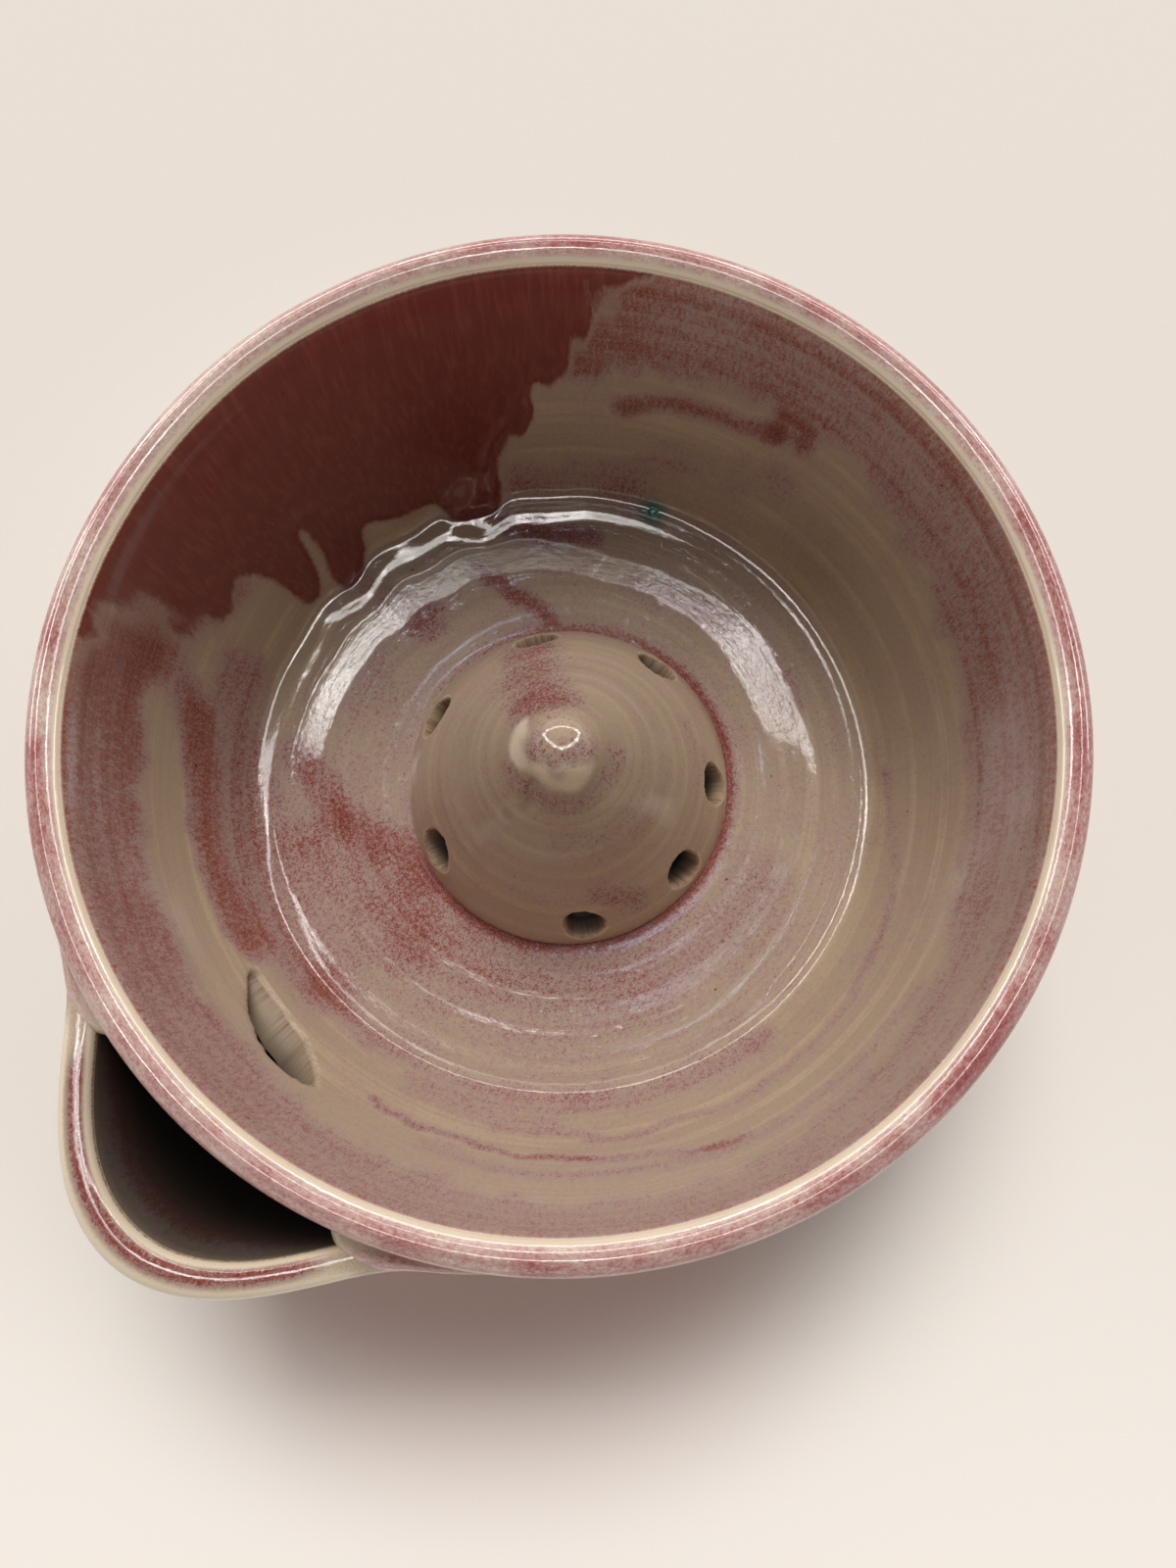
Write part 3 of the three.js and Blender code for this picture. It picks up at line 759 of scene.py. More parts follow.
# The red band under the rim: angles, depths and how red. Then brush strokes: how red, how wide, and where.
rim_band = [
    (-160, 21, 0.40), (178, 19, 0.40), (163, 22, 0.42), (148, 27, 0.44), (131, 28, 0.44),
    (114, 26, 0.37), (97, 22, 0.28), (81, 18, 0.25), (62, 15, 0.26), (42, 17, 0.29), (24, 21, 0.33),
    (6, 22, 0.37), (-11, 21, 0.39), (-27, 20, 0.44), (-40, 19, 0.52), (-52, 20, 0.62), (-61, 20, 0.80),
    (-72, 24, 1.0), (-140, 24, 0.70),
]
blots = [
    (0.62, 6.5, [(-79, 33), (-70, 25), (-63, 25), (-58, 36), (-50, 40.5), (-35, 41), (-23, 44)]),
    (0.44, 10.0, [(-66, 47), (-57, 51), (-45, 54), (-28, 55.5), (-11, 57)]),
    (-0.30, 6.0, [(-61, 24.5), (-49, 28), (-36, 28.7), (-22, 31.4), (-15, 34)]),
    (0.62, 3.2, [(-150, 32.6), (-158, 28.6), (-166, 28), (-173.5, 26)]),
    (0.62, 2.6, [(-174, 27), (-174, 20), (-178, 20), (-178, 25)]),
    (0.34, 6.0, [(-132, 53), (-138, 53.6), (-152, 52.5)]),
    (0.24, 7.0, [(-158, 45), (-166, 42), (-176, 39)]),
    (0.60, 3.4, [(-128, 63.4), (-135, 66), (-146, 67.5)]),
    (0.66, 2.6, [(-119, 72), (-125, 79), (-134, 86)]),
    (0.46, 5.0, [(-95.5, 60), (-97.5, 66), (-100, 77)]),
    (0.44, 5.0, [(-56, 68), (-50, 72), (-43, 74), (-36, 80), (-27, 86), (-18, 86)]),
    (0.27, 8.0, [(-38, 70), (-26, 74), (-10, 77), (-5, 77)]),
    (0.20, 9.0, [(-5, 80), (23, 79), (45, 79), (72, 78), (102, 77)]),
    (0.30, 4.5, [(14, 49.5), (22, 49), (29, 47.5), (37, 47)]),
    (0.42, 1.5, [(10, 38), (24, 36.6), (37, 35.3), (48, 33.1), (64, 27)]),
    (0.22, 2.0, [(40, 43), (70, 41), (100, 44), (130, 53)]),
    (0.20, 5.0, [(150, 72), (175, 74), (-160, 76)]),
    (0.30, 5.0, [(-11, 57), (12, 56.5), (40, 55), (75, 54)]),
    (0.26, 3.0, [(20, 31), (45, 28), (75, 24), (95, 25)]),
]
# The red in the groove round the cone, as angles and how red.
valley_red = [
    (-136, 0.7), (180, 0.8), (129, 0.95), (90, 0.95), (39, 1.0), (0, 1.0), (-16, 0.8), (-30, 0.3),
    (-60, 0.1), (-100, 0.15), (-125, 0.5),
]


def raggedness(points):
    """Uneven millimetres that fray the edges of the glaze."""
    return 1.3 * bumps(points * (1, 1, 0.4), 3.2, 51) + 1.6 * bumps(points * (1, 1, 0.4), 8, 52)


def loop_curve(corners, count):
    """A smooth closed curve through these corners."""
    corners = np.array(corners, dtype=float)
    total = len(corners)
    at = np.linspace(0, total, count, endpoint=False)
    k = np.floor(at).astype(int)
    t = (at - k)[:, None]
    a, b, c, d = (corners[(k + shift) % total] for shift in (-1, 0, 1, 2))
    return 0.5 * (2 * b + (c - a) * t + (2 * a - 5 * b + 4 * c - d) * t**2 + (3 * b - a - 3 * c + d) * t**3)


def pour_inside(degrees, runs, points):
    """Millimetres inside the poured oxblood. It frays into hairs at both ends and is thinner at one."""
    outline = loop_curve(pour_edge, 240)
    stretch = np.array([math.radians(1) * pour_radius, 1.0])
    nearest = np.full(runs.shape, 1e6)
    inside = np.zeros(runs.shape, dtype=bool)
    for a, b in zip(outline * stretch, np.roll(outline, -1, axis=0) * stretch):
        px = degrees * stretch[0] - a[0]
        py = runs - a[1]
        along, down = b - a
        share = np.clip((px * along + py * down) / max(along**2 + down**2, 1e-9), 0, 1)
        nearest = np.minimum(nearest, np.hypot(px - share * along, py - share * down))
        if abs(down) > 1e-9:
            inside ^= ((a[1] > runs) != (b[1] > runs)) & (px < py * along / down)
    depth = np.where(inside, nearest, -nearest)
    ends = smooth_step(-84, -74, degrees) + smooth_step(-127, -135, degrees)
    hairy = 3.0 * bumps(points * (1, 1, 0.12), 2.6, 56) * np.clip(ends, 0, 1)
    fading = smooth_step(-84, -68, degrees) * smooth_step(20, 0, degrees)
    return np.clip((depth + hairy) * (1 - 0.6 * fading), no_pool, 12)


def wall_blush(degrees, runs, points, radius):
    """How red the inside of the bowl is: a band under the rim, blots, and a red groove round the cone."""
    frayed = raggedness(points)
    band_depth = round_table(degrees, [row[:2] for row in rim_band])
    band_red = round_table(degrees, [(row[0], row[2]) for row in rim_band])
    blush = 0.19 + band_red * smooth_step(4.5, -4.5, runs - band_depth + 2.2 * frayed)
    for strength, width, path in blots:
        blush = blush + strength * stroke(degrees, runs + 0.8 * frayed, radius, path, width * brush_spread)
    pour_depth = pour_inside(degrees, runs, points)
    under = smooth_step(0, -4, pour_depth) * smooth_step(-16, -10, pour_depth)
    blush = blush - 0.25 * under * about(degrees, -100, 30, 22)
    valley = bell(runs - inner_end, -0.4, 2.5) * round_table(degrees, valley_red)
    rosy = about(degrees, -5, 125, 60)
    return blush + (0.05 + 0.09 * rosy) * smooth_step(56, 66, runs) + valley


pour_depth = pour_inside(inner_degrees, inner_run, inner_plain)
inner_blush = wall_blush(inner_degrees, inner_run, inner_plain, inner_radius)
inner_ridges = ridges(inner_plain, inner_run, np.broadcast_to(inner_angles, inner_run.shape), 53)
pooled = smooth_step(-0.6, 2.6, pour_depth)
pour_roll = bell(pour_depth, 2.4, 1.9)
fat_drop = stroke(inner_degrees, inner_run, inner_radius, [(-124, 54.5), (-121, 57)], 7.0)

# The roll of glaze at the foot of the wall, and the flattened patches inside it, as angles and runs.
hem_line = [
    (-41, 57.6), (-60.7, 59.1), (-73.7, 60.0), (-85.8, 59.2), (-93.4, 60.9), (-99.2, 60.2),
    (-106, 59.4), (-113.5, 59.9), (-122.7, 63.0), (-129.1, 60.9), (-136.9, 61.4), (-145, 60.6),
    (-158, 60.8), (-173, 61.2), (149, 61.7), (117, 62.2), (86, 61.5), (70, 60), (20, 60.1), (-12, 60),
    (-27, 59.1),
]
from_hem = inner_run - round_table(inner_degrees, hem_line)
broad = about(inner_degrees, 70, 95, 60)
hem = bell(from_hem, 0, 2.5 + 1.1 * broad)
hem_height = 0.42 + 0.28 * about(inner_degrees, -105, 70, 35) + 0.06 * broad
facet_line = [
    (-59, 64.4), (-75, 65.7), (-92, 66.3), (-108, 66.6), (-123, 67.4), (-136, 69.2), (-151, 71.8),
    (-171, 71.3), (169, 69.5), (153, 70.6), (100, 68.5), (40, 66.5), (0, 65.5), (-30, 64.5),
]
facet_wide = [
    (-60, 7.6), (-79, 7.3), (-111, 8.3), (-125, 8.1), (-141, 7.0), (-157, 6.2), (-176, 7.0), (165, 10),
    (120, 9),
]
facet_width = round_table(inner_degrees, facet_wide)
into_facet = inner_run - round_table(inner_degrees, facet_line) + 0.25 * bumps(inner_plain, 15, 55)
on_facet = smooth_step(-0.6, 0.6, into_facet) * smooth_step(0.6, -0.6, into_facet - facet_width)
on_facet = on_facet * about(inner_degrees, -136, 98, 78)
on_floor = smooth_step(floor_start - 1, floor_start, inner_run)
on_floor = on_floor * smooth_step(inner_end, inner_end - 1, inner_run)
run_steps = np.gradient(inner_runs)[:, None]
facet_rise = (facet_tilt * on_facet * run_steps).sum(axis=0)
facet_slope = facet_tilt * on_facet - facet_rise / (inner_end - floor_start) * on_floor
facet_lift = np.cumsum(facet_slope * run_steps, axis=0)
inner_hand = 0.14 * inner_ridges * smooth_step(0, 5, inner_run) + 0.10 * bumps(inner_plain, 22, 54)
inner_lift = inner_hand * (1 - on_facet) + 0.25 * pooled + 0.25 * pour_roll + 1.3 * fat_drop
inner_lift = (inner_lift + hem_height * hem + facet_lift) * smooth_step(0, 8, inner_run)

# The slot, in its own axes: u along the leaf and v across it.
slot_x = turned_from(inner_degrees, slot_centre) * math.radians(1) * slot_radius
slot_y = slot_centre_run - inner_run
slot_u = slot_x * math.cos(slot_tilt) + slot_y * math.sin(slot_tilt)
slot_v = slot_y * math.cos(slot_tilt) - slot_x * math.sin(slot_tilt)
slot_share = np.clip(slot_u / slot_half_length, -1, 1)
slot_width = slot_half_height * (1 - slot_share**2) ** 0.8 * (1 + 0.35 * slot_share)
slot_beside = np.abs(slot_v) - slot_width
slot_beyond = np.abs(slot_u) - slot_half_length
slot_depth = np.where(slot_beyond < 0, np.maximum(slot_beside, -4), np.maximum(slot_beside, slot_beyond))
slot_depth = slot_depth + 0.5 * bumps(inner_plain, 3.2, 57) * smooth_step(6, 2, np.abs(slot_depth))


def snapped(points, depth):
    """Moves the grid points nearest to a cut onto it, so that no side of a cell crosses the cut."""
    points = points.copy()
    depth = depth.copy()
    for axis in (0, 1):
        beside = np.roll(depth, -1, axis)
        next_points = np.roll(points, -1, axis)
        crossing = depth * beside < 0
        if axis == 0:
            crossing[-1] = False
        share = np.where(crossing, depth / np.where(crossing, depth - beside, 1), 0)
        cut = points + (next_points - points) * share[..., None]
        for near, shift in ((crossing & (share <= 0.5), 0), (crossing & (share > 0.5), 1)):
            at = np.roll(near, shift, axis)
            points[at] = np.roll(cut, shift, axis)[at]
            depth[at] = 0
    return points, depth


def rounded(depth, radius):
    """How far the surface sinks towards a cut edge that is rounded off."""
    left = np.clip(1 - depth / radius, 0, 1)
    return np.where(depth >= 0, radius * (1 - np.sqrt(1 - left**2)), radius)


floor_shift = smooth_step(40, 58, inner_run) * smooth_step(88, 70, inner_run)
wave = bell(turned_from(inner_degrees, -105), 0, 24) * np.sin(np.radians(inner_degrees) * 24)
shift_radius = floor_shift * (np.cos(np.radians(inner_degrees + 70)) + 0.6 * wave)


def rim_wobble(angles):
    """How the rim's hand-made line rises and widens, in millimetres, at each angle."""
    circle = np.stack([np.cos(angles), np.sin(angles), 0 * angles], axis=-1) * rim_circle
    return 0.30 * bumps(circle, 55, 71) + 0.12 * bumps(circle, 18, 72), 0.25 * bumps(circle, 60, 73)


rim_high, rim_wide = rim_wobble(inner_angles)
under_rim = smooth_step(wall_top, rim_middle[1], inner_profile[:, 1:])
inner_front = thrown(
    inner_profile[:, :1] + inner_face[:, :1] * inner_lift + shift_radius + under_rim * rim_wide,
    inner_profile[:, 1:] + inner_face[:, 1:] * inner_lift + under_rim * rim_high,
    inner_angles,
)
inner_out = spun(-inner_face, inner_angles)
inner_front, slot_depth = snapped(inner_front, slot_depth)
near_slot = smooth_step(9, 2, slot_depth)
inner_thick = np.interp(inner_runs, [0, 40], [inner_top_wall, inner_wall])[:, None] + 2.6 * near_slot
inner_back = inner_front + inner_out * inner_thick[..., None]
inner_back[..., 2] += 3.0 * near_slot
inner_front = inner_front + inner_out * rounded(slot_depth, slot_edge)[..., None]
# Painted light and shade in the slot: the hidden back is painted near black, lighter towards one end of
# the slot and shaded at the other, and the front is painted darker right at the cut.
slot_lit = 0.42 - 0.40 * smooth_step(-0.5, 0.8, slot_share)
slot_rim = bell(slot_depth, 1.0, 0.9) * smooth_step(1.5, -1.5, slot_v)
slot_edge_shade = 0.30 * smooth_step(0.9, 0.1, slot_depth)
slot_back_shade = 1 - slot_lit * smooth_step(9, 3, slot_depth)
stain = 0.9 * stroke(inner_degrees, inner_run, inner_radius, [(bead_angle, bead_run)], 5.0)
inner_pale = 0.42 * slot_rim + 0.42 * np.clip(inner_ridges, 0, 1) ** 1.5 * smooth_step(30, 60, inner_run)
inner_pale = inner_pale + 0.9 * smooth_step(-6.3, -7.6, inner_run)
inner_flow = flow_of(inner_plain, inner_run)
inner_marks = {
    "flow": two_grids(inner_flow, inner_flow),
    "blush": both_sides(inner_blush, 0.1),
    "pour": both_sides(pour_depth, no_pool),
    "pale": both_sides(inner_pale, 0.1),
    "stain": both_sides(stain, 0),
    "bare": both_sides(0.6 * bell(slot_depth, 0.2, 0.6), 0.2),
    "hollow": np.concatenate([slot_edge_shade.ravel(), slot_back_shade.ravel()]),
}
inner_glaze = copper_glaze("inner_copper_glaze", red_coat, ring_pull=0.85)
inner_faces = walled(slot_depth)
inner_points = two_grids(inner_front, inner_back)
inner_bowl = fire("inner_bowl_wall", inner_points, inner_faces, inner_marks, inner_glaze)
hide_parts("inner_bowl")

# Cone: a hollow thrown cap set in the middle of the floor, where the water leaves through seven holes bored
# round its foot while the clay is stiff. The glaze runs off it and gathers red in the groove below.
cone_tip = 61.4
cone_tip_radius = 8.4
cone_wall = 5.0
hole_radius = 4.25
hole_edge = 0.55
hole_height = 30.55
hole_angles = (-22, -77, -128, -179, 127, 91, 46)
tip_turn = np.linspace(math.radians(1.2), math.radians(57), 40)
cone_curve = np.vstack([
    (np.stack([np.sin(tip_turn), np.cos(tip_turn)], axis=-1) * cone_tip_radius + (0, cone_tip))[:-1],
    bent([(7.04, 65.97), (16.1, 52.0), (27.6, 39.5), (34.9, 25.6)], 200)[:-1],
    bent([(34.9, 25.6), (35.3, 24.7), (35.6, 24.2), (35.6, 22.6)], 16),
])
cone_runs = run_length(cone_curve)
cone_runs = np.concatenate([
    np.linspace(0, 40, 44),
    np.linspace(40, 57, 33)[1:],
    np.linspace(57, cone_runs[-1], 8)[1:],
])
cone_profile = spaced(cone_curve, cone_runs)
cone_face = sideways(cone_profile)
cone_angles = np.linspace(0, 2 * math.pi, 396, endpoint=False)
cone_plain = spun(cone_profile, cone_angles)
cone_run = np.broadcast_to(cone_runs[:, None], cone_plain.shape[:2])
cone_degrees = (np.degrees(np.broadcast_to(cone_angles, cone_run.shape)) + 180) % 360 - 180
cone_radius = np.broadcast_to(cone_profile[:, :1], cone_run.shape)
hole_run = np.interp(-hole_height, -cone_profile[:, 1], cone_runs)
hole_depth = np.full(cone_run.shape, 60.0)
above_hole = cone_run - hole_run
for number, angle in enumerate(hole_angles):
    off_centre = 0.3 * math.sin(7 * number)
    across = turned_from(cone_degrees, angle) * math.radians(1) * cone_radius
    round_hole = np.arctan2(above_hole, across)
    wobble = 1 + 0.07 * np.sin(2 * round_hole + number) + 0.05 * np.sin(3 * round_hole + 2.3 * number)
    from_edge = np.hypot(across, above_hole - off_centre) - hole_radius * wobble
    hole_depth = np.minimum(hole_depth, from_edge)
cone_blots = [
    (0.62, 9.0, [(-119, 18), (-121, 33), (-124, 44)]),
    (0.40, 6.0, [(-100, 15), (-118, 10), (-150, 12)]),
    (0.45, 4.5, [(30, 5), (100, 5), (-30, 6)]),
    (0.42, 3.6, [(-30, 14), (40, 14.5), (120, 14)]),
    (0.30, 5.0, [(40, 25), (60, 27), (90, 28)]),
    (0.60, 4.0, [(54, 43), (62, 44), (68, 48)]),
    (0.25, 4.0, [(20, 42), (40, 42)]),
    (0.30, 4.0, [(130, 45), (150, 45)]),
]
cone_ragged = bumps(cone_plain, 3, 61) + 1.4 * bumps(cone_plain, 7, 62)
cone_blush = np.full(cone_run.shape, 0.02)
brush_radius = np.maximum(cone_radius, 3)
for strength, width, path in cone_blots:
    touch = stroke(cone_degrees, cone_run + cone_ragged, brush_radius, path, width * brush_spread)
    cone_blush = cone_blush + strength * touch
cone_blush = cone_blush + 0.9 * smooth_step(57.0, 59.6, cone_run) * round_table(cone_degrees, valley_red)
cone_ridges = ridges(cone_plain, cone_run, np.broadcast_to(cone_angles, cone_run.shape), 63)
cone_lift = 0.20 * cone_ridges * smooth_step(6, 14, cone_run)
cone_lift = cone_lift + 0.12 * bumps(cone_plain, 16, 64) * smooth_step(2, 12, cone_run)
cone_front = lifted(cone_profile, cone_face, cone_lift, cone_angles)
cone_in = spun(-cone_face, cone_angles)
cone_front, hole_depth = snapped(cone_front, hole_depth)
cone_thick = np.minimum(cone_wall, cone_radius * 0.9 + 0.2)[..., None]
cone_back = cone_front + cone_in * cone_thick
from_axis = np.hypot(cone_back[..., 0], cone_back[..., 1])[..., None]
cone_back[..., :2] *= np.maximum(from_axis, 0.3) / from_axis.clip(1e-6)
cone_front = cone_front + cone_in * rounded(hole_depth, hole_edge)[..., None]
hole_lip = bell(hole_depth, 0.8, 0.45)
cream_ring = bell(cone_run + 1.2 * cone_ragged, 7.9, 3.0) * about(cone_degrees, 40, 85, 35)
cream_ring = cream_ring + bell(cone_run + 1.4 * cone_ragged, 10, 2.8) * about(cone_degrees, -58, 50, 15)
cone_pale = 0.4 * hole_lip + 0.5 * np.clip(cone_ridges, 0, 1) ** 1.5
cone_pale = cone_pale + (0.98 + 0.35 * bumps(cone_plain, 4, 65)) * cream_ring
cone_marks = {
    "flow": two_grids(cone_plain, cone_plain),
    "blush": both_sides(cone_blush, 0.1),
    "pour": both_sides(np.full(cone_run.shape, no_pool), no_pool),
    "pale": both_sides(cone_pale, 0.1),
    "bare": both_sides(0.78 * bell(hole_depth, 0.2, 0.55), 0.8),
    # Painted shade: the glaze is darkened at the holes' edges, and the cone's inside is painted near black.
    "hollow": both_sides(0.2 * smooth_step(0.35, 0.05, hole_depth), 1),
}
cone_glaze = copper_glaze(
    "cone_grey_glaze", red_coat, hair=(1, 1, 0.6), ring_pull=0.4, gloss=0.05, speckle=2.4, bands=0.5
)
cone_faces = walled(hole_depth, joined=(False, True))
cone_points = two_grids(cone_front, cone_back)
center_cone = fire("drain_cone", cone_points, cone_faces, cone_marks, cone_glaze)
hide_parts("center_cone")

# Rim: the roll of clay that closes the two walls at the top, compressed with a strip of wet leather. The
# glaze runs off its edges, which break to cream, and stays pink and crimson along its crown.
rim_columns = 640
rim_rows = 56
rim_loop = [
    (86.2, 80.2), (84.8, 80.3), (83.75, 80.9), (83.42, 82.2), (83.36, 84.2), (83.4, 86.4), (83.95, 88.6),
    (85.1, 90.2), (86.7, 90.8), (88.3, 90.4), (89.5, 89.0), (90.1, 86.9), (90.15, 84.8), (89.95, 82.8),
    (89.5, 81.2), (88.2, 80.3),
]
rim_section = loop_curve(rim_loop, rim_rows)
rim_angles = np.linspace(0, 2 * math.pi, rim_columns, endpoint=False)
rim_across, rim_up = (rim_section - rim_middle).T
rim_over = np.degrees(np.arctan2(rim_up, rim_across))[:, None]
rim_high, rim_wide = rim_wobble(rim_angles)
rim_line = 0.05 * np.sin(np.radians(rim_over) * 9) * smooth_step(20, 60, rim_over)
rim_out = np.stack([np.cos(np.radians(rim_over)), np.sin(np.radians(rim_over))], axis=-1)
rim_top_share = smooth_step(wall_top, rim_middle[1], rim_section[:, 1:])
rim_points = thrown(
    rim_section[:, :1] + rim_wide * rim_top_share + rim_out[..., 0] * rim_line,
    rim_section[:, 1:] + rim_high * rim_top_share + rim_out[..., 1] * rim_line,
    rim_angles,
)
rim_degrees = np.broadcast_to(np.degrees(rim_angles), rim_points.shape[:2])
# The crimson along the crown, as angles and how red.
rim_crimson = [
    (-47, 0.9), (-52, 0.2), (-57, 0.3), (-61, 0.8), (-66, 0.3), (-72, 0.2), (-78, 0.8), (-84, 0.3),
    (-95, 0.12), (-110, 0.2), (-120, 0.3), (-131, 0.6), (-145, 0.75), (-155, 0.65), (-165, 0.5),
    (-171, 0.75), (175, 0.7), (165, 0.5), (150, 0.7), (130, 0.75), (112, 0.45), (98, 0.55), (89, 0.8),
    (78, 0.6), (66, 0.54), (52, 0.55), (40, 0.52), (20, 0.46), (0, 0.40), (-20, 0.40), (-35, 0.44),
]
rim_crown = smooth_step(6, 40, rim_over) * smooth_step(122, 88, rim_over)
rim_blush = 0.18 + 0.70 * round_table(rim_degrees, rim_crimson) * rim_crown
rim_blush = rim_blush + 0.16 * bumps(rim_points, 5, 74) + 0.12 * bumps(rim_points, 14, 75)
rim_edges = 0.85 * bell(rim_over, 127, 11) + 0.55 * bell(rim_over, 2, 20)
rim_pale = rim_edges + 0.10 * bumps(rim_points, 9, 76)
rim_marks = {
    "flow": flow_of(rim_points, rim_over * 0.07).reshape(-1, 3),
    "blush": rim_blush.ravel(),
    "pour": np.full(rim_blush.size, no_pool),
    "pale": rim_pale.ravel(),
}
rim_faces = skin(rim_rows, rim_columns)
last_ring = (rim_rows - 1) * rim_columns
for k in range(rim_columns):
    beside = (k + 1) % rim_columns
    rim_faces.append([last_ring + k, k, beside, last_ring + beside])
rim = fire("rolled_rim", rim_points, rim_faces, rim_marks, rim_glaze)
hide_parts("rim")

# Glaze bead: a drop of copper-green glass that fell on the turn between the wall and the floor and froze
# there, domed in the middle with a thin skirt.
bead_radius = 1.3
bead_height = 0.95
bead_columns = 48
pale_glass = (0.09, 0.60, 0.56, 1)
deep_glass = (0.015, 0.19, 0.18, 1)
bead_profile = np.vstack([
    bent([(0.03, bead_height), (0.35, 0.9), (0.68, 0.72)], 9)[:-1],
    bent([(0.68, 0.72), (0.95, 0.42), (1.12, 0.18), (bead_radius, 0.02)], 14),
    [(bead_radius, -0.35), (0.03, -0.4)],
])
bead_angles = np.linspace(0, 2 * math.pi, bead_columns, endpoint=False)
bead_local = spun(bead_profile, bead_angles)
bead_local[..., 0] *= 1 + 0.06 * np.sin(2 * bead_angles)
bead_row = int(np.argmin(np.abs(inner_runs - inner_seam - bead_run)))
bead_column = int(np.argmin(np.abs(turned_from(np.degrees(inner_angles), bead_angle))))
bead_seat = Vector(inner_front[bead_row, bead_column])
bead_up = Vector(-inner_out[bead_row, bead_column])
bead_turn = bead_up.to_track_quat("Z", "Y").to_matrix()
bead_points = bead_local @ np.array(bead_turn).T + np.array(bead_seat)
bead_faces = skin(len(bead_profile), bead_columns)
bead_faces += [ring_of(0, bead_columns), ring_of(len(bead_profile) - 1, bead_columns)]
green_glass, tree, surface = new_finish("copper_green_glass")
flow = marked(tree, "flow")
depth = marked(tree, "dome")
cloud = mottle(tree, flow, (1, 1, 1), 0.9, 3, 0.6)
thick_glass = rise(tree, reckon(tree, "MULTIPLY_ADD", cloud, 0.5, depth), 0.35, 1.0)
glass_colour = blend(tree, thick_glass, pale_glass, deep_glass)
tree.links.new(glass_colour, surface.inputs["Base Color"])
tree.links.new(rise(tree, cloud, 0.3, 0.7, 0.03, 0.09), surface.inputs["Roughness"])
surface.inputs["IOR"].default_value = 1.6
surface.inputs["Coat Weight"].default_value = 1.0
surface.inputs["Coat Roughness"].default_value = 0.02
bead_dome = np.repeat(bead_profile[:, 1] / bead_height, bead_columns)
bead_marks = {"flow": bead_points.reshape(-1, 3), "dome": bead_dome}
bead = fire("glass_bead", bead_points, bead_faces, bead_marks, green_glass)
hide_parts("glaze_bead")

# Table, light and camera: a pale warm table, a large soft light from the far side, thin lights that only
# show in the gloss, and a camera that looks nearly straight down. Lengths here are metres.
table_colour = (0.86, 0.805, 0.745, 1)
far_paper_shaded = (0.81, 0.735, 0.665, 1)
near_paper_lit = (0.93, 0.855, 0.785, 1)
red_bounce_paint = (0.83, 0.64, 0.58, 1)
table_radius = 6.0
table_sides = 96
bowl_middle = (0.016, -0.014, 0)
red_bounce_middle = (0.0995, 0.0677, 0)
shadow_reach = 0.112
paper_from = 0.170
paper_share = 0.92
room_colour = (0.82, 0.78, 0.735, 1)
lamp_white = (1.0, 0.985, 0.965)
lamp_blue = (0.62, 0.80, 1.0)
far_side = Vector((-0.777, -0.629, 0))
right_side = Vector((-0.629, 0.777, 0))
panel_size = (1.5, 1.5)
panel_watts = 88
glint_size = (0.04, 0.04)
glint_watts = 0.12
gloss_aim = (0, 0, 0.06)


def measured(tree, operation, place, other):
    """A number from a place in the shader and another place or direction."""
    return add(tree, "VectorMath", {0: place, 1: other}, operation=operation).node.outputs["Value"]


table_mesh = bpy.data.meshes.new("pale_table")
table_round = np.linspace(0, 2 * math.pi, table_sides, endpoint=False)
table_corners = [(table_radius * math.cos(v), table_radius * math.sin(v), 0) for v in table_round]
table_mesh.from_pydata(table_corners, [], [range(table_sides)])
table = bpy.data.objects.new("pale_table", table_mesh)
bpy.context.collection.objects.link(table)
table_finish, tree, surface = new_finish("pale_table")
surface.inputs["Roughness"].default_value = 0.6
surface.inputs["Specular IOR Level"].default_value = 0.2
ray = add(tree, "LightPath", {}).node
plain_ray = reckon(tree, "MAXIMUM", ray.outputs["Is Camera Ray"], ray.outputs["Is Glossy Ray"])
plain_ray = reckon(tree, "MAXIMUM", plain_ray, ray.outputs["Is Transmission Ray"])
place = add(tree, "NewGeometry", {}).node.outputs["Position"]
# Painted light: from just past the pot the table glows for camera and gloss rays, which paints out the outer
# part of its shadow, and the glow is painted brighter towards the near side.
from_bowl = measured(tree, "DISTANCE", place, bowl_middle)
far_off = rise(tree, from_bowl, shadow_reach, paper_from, 0, paper_share)
far_off = reckon(tree, "MULTIPLY", far_off, plain_ray)
nearer = measured(tree, "DOT_PRODUCT", place, -far_side)
paper_colour = blend(tree, rise(tree, nearer, 0.0, 0.2), far_paper_shaded, near_paper_lit)
# Painted reflection: the table is tinted red in the pot's shadow on the near side, in place of red bounce
# light.
red_bounce_share = rise(tree, measured(tree, "DISTANCE", place, red_bounce_middle), 0.030, 0.085, 1, 0)
tree.links.new(blend(tree, red_bounce_share, table_colour, red_bounce_paint), surface.inputs["Base Color"])
glow = add(tree, "Emission", {"Color": paper_colour, "Strength": 1.0})
paper = add(tree, "MixShader", {0: far_off, 1: surface.outputs[0], 2: glow})
tree.links.new(paper, tree.nodes["Material Output"].inputs["Surface"])
table_mesh.materials.append(table_finish)

world = bpy.data.worlds.new("soft_room")
bpy.context.scene.world = world
world.use_nodes = True
tree = world.node_tree
room = tree.nodes["Background"]
room.inputs["Color"].default_value = room_colour
direction = add(tree, "TexCoord", {}).node.outputs["Generated"]
upward = add(tree, "SeparateXYZ", {0: direction}).node.outputs["Z"]
tree.links.new(rise(tree, upward, 0.15, 0.65, 1.5, 0.12), room.inputs["Strength"])


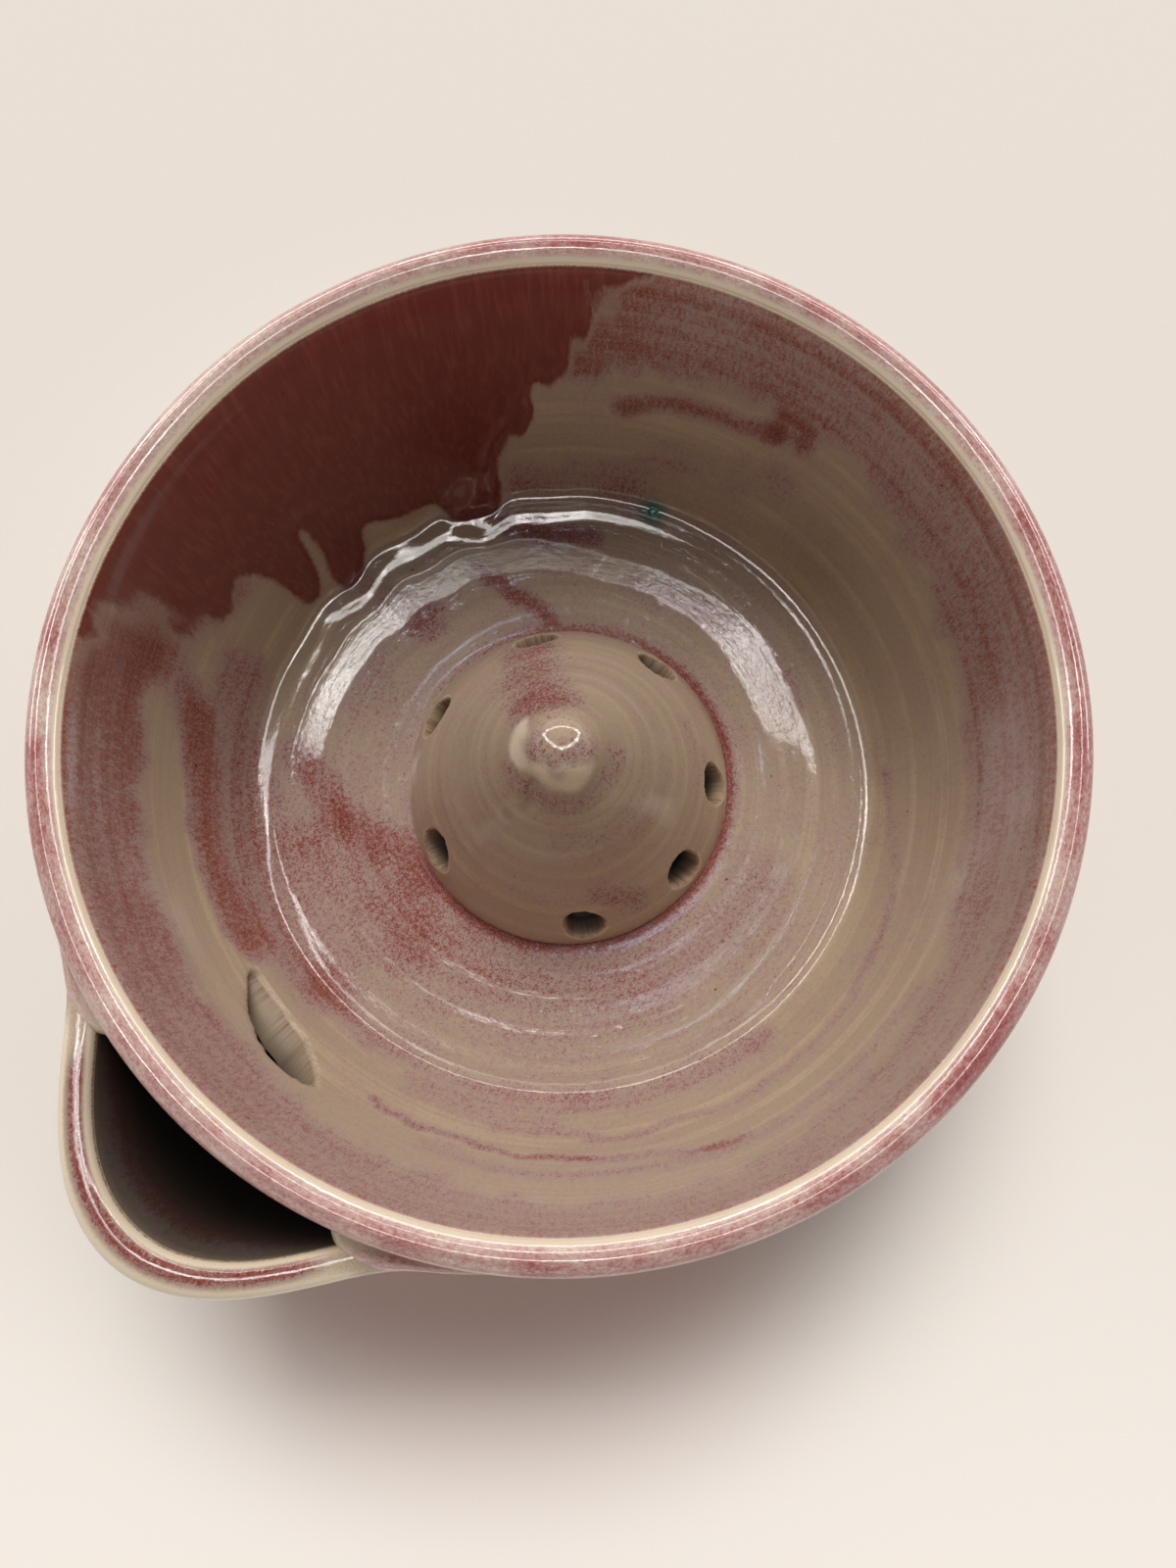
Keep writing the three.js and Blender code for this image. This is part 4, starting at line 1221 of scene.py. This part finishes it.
def stood(thing, across, up, back, place):
    """Puts a lamp or camera at a place, with its own axes along these directions."""
    matrix = thing.matrix_world.copy()
    for k in range(3):
        matrix[k][:] = (across[k], up[k], back[k], place[k])
    thing.matrix_world = matrix


def only_on(name, pieces):
    """A collection of the pieces that some lights are for."""
    receivers = bpy.data.collections.new(name)
    for piece in pieces:
        receivers.objects.link(piece)
    return receivers


def soft_light(name, place, aim, size, watts, colour, spin, in_gloss, receivers=None):
    """A flat light aimed at a point, its long side along spin. It works in the gloss or outside it."""
    lamp = bpy.data.lights.new(name, "AREA")
    lamp.shape = "RECTANGLE"
    lamp.size, lamp.size_y = size
    lamp.energy = watts
    lamp.color = colour
    holder = bpy.data.objects.new(name, lamp)
    bpy.context.collection.objects.link(holder)
    back = (Vector(place) - Vector(aim)).normalized()
    across = (spin - back * spin.dot(back)).normalized()
    stood(holder, across, back.cross(across), back, place)
    holder.visible_camera = False
    holder.visible_glossy = in_gloss
    holder.visible_diffuse = not in_gloss
    if receivers:
        holder.light_linking.receiver_collection = receivers


def light_line(name, height, turns, width, brightness, receivers=None):
    """Thin lights along a line at one height. Each turn of it is so far to the right and to the far side."""
    places = [right_side * x + far_side * y + Vector((0, 0, height)) for x, y in turns]
    for k, bright in enumerate(brightness):
        a, b = places[k], places[k + 1]
        size = ((b - a).length + 0.7 * width, width)
        watts = math.pi * bright * size[0] * size[1]
        middle = (a + b) / 2
        soft_light(f"{name}_{k}", middle, gloss_aim, size, watts, lamp_white, b - a, True, receivers)


key_place = far_side * 1.88 + Vector((0, 0, 2.57))
soft_light("far_side_panel", key_place, (0, 0, 0.05), panel_size, panel_watts, lamp_white, right_side, False)
window_turns = [
    (0, -0.11), (0.23, -0.03), (0.57, 0.23), (0.77, 0.60), (0.67, 0.80), (0, 0.82), (-0.67, 0.77),
    (-0.87, 0.54), (-0.57, 0.23), (-0.23, -0.03), (0, -0.11),
]
light_line("window_line", 0.76, window_turns, 0.10, [8.0] * 10)
horizon_turns = [(math.sin(v), math.cos(v)) for v in np.radians([-80, -48, -16, 16, 48, 80])]
light_line("horizon_line", 0.28, horizon_turns, 0.14, [6.0] * 5, only_on("on_the_rim", [rim, spout]))
floor_turns = [
    (-0.62, 0.50), (-0.57, 0.63), (-0.45, 0.735), (-0.30, 0.82), (-0.06, 0.865), (0.14, 0.80),
    (0.30, 0.67), (0.38, 0.53),
]
on_the_floor = only_on("on_the_floor", [inner_bowl])
light_line("floor_line", 2.2, floor_turns, 0.15, [9, 9, 4, 1.6, 1.2, 5, 9], on_the_floor)
glint_place = far_side * 0.30 + Vector((0, 0, 2.2))
soft_light(
    "blue_glint", glint_place, (0, 0, 0), glint_size, glint_watts, lamp_blue, right_side, True, on_the_floor
)

camera_data = bpy.data.cameras.new("overhead_camera")
camera_data.lens = 27.0
camera_data.sensor_width = 36.0
camera_data.clip_start = 0.01
camera = bpy.data.objects.new("overhead_camera", camera_data)
bpy.context.collection.objects.link(camera)
look = Vector((-0.132, -0.1183, -0.9842)).normalized()
up = Vector((-0.765, -0.620, 0.175))
right = look.cross(up).normalized()
eye = (0.0317, 0.0345, 0.2816)
stood(camera, right, right.cross(look), -look, eye)
bpy.context.scene.camera = camera
bpy.context.scene.view_settings.view_transform = "Standard"
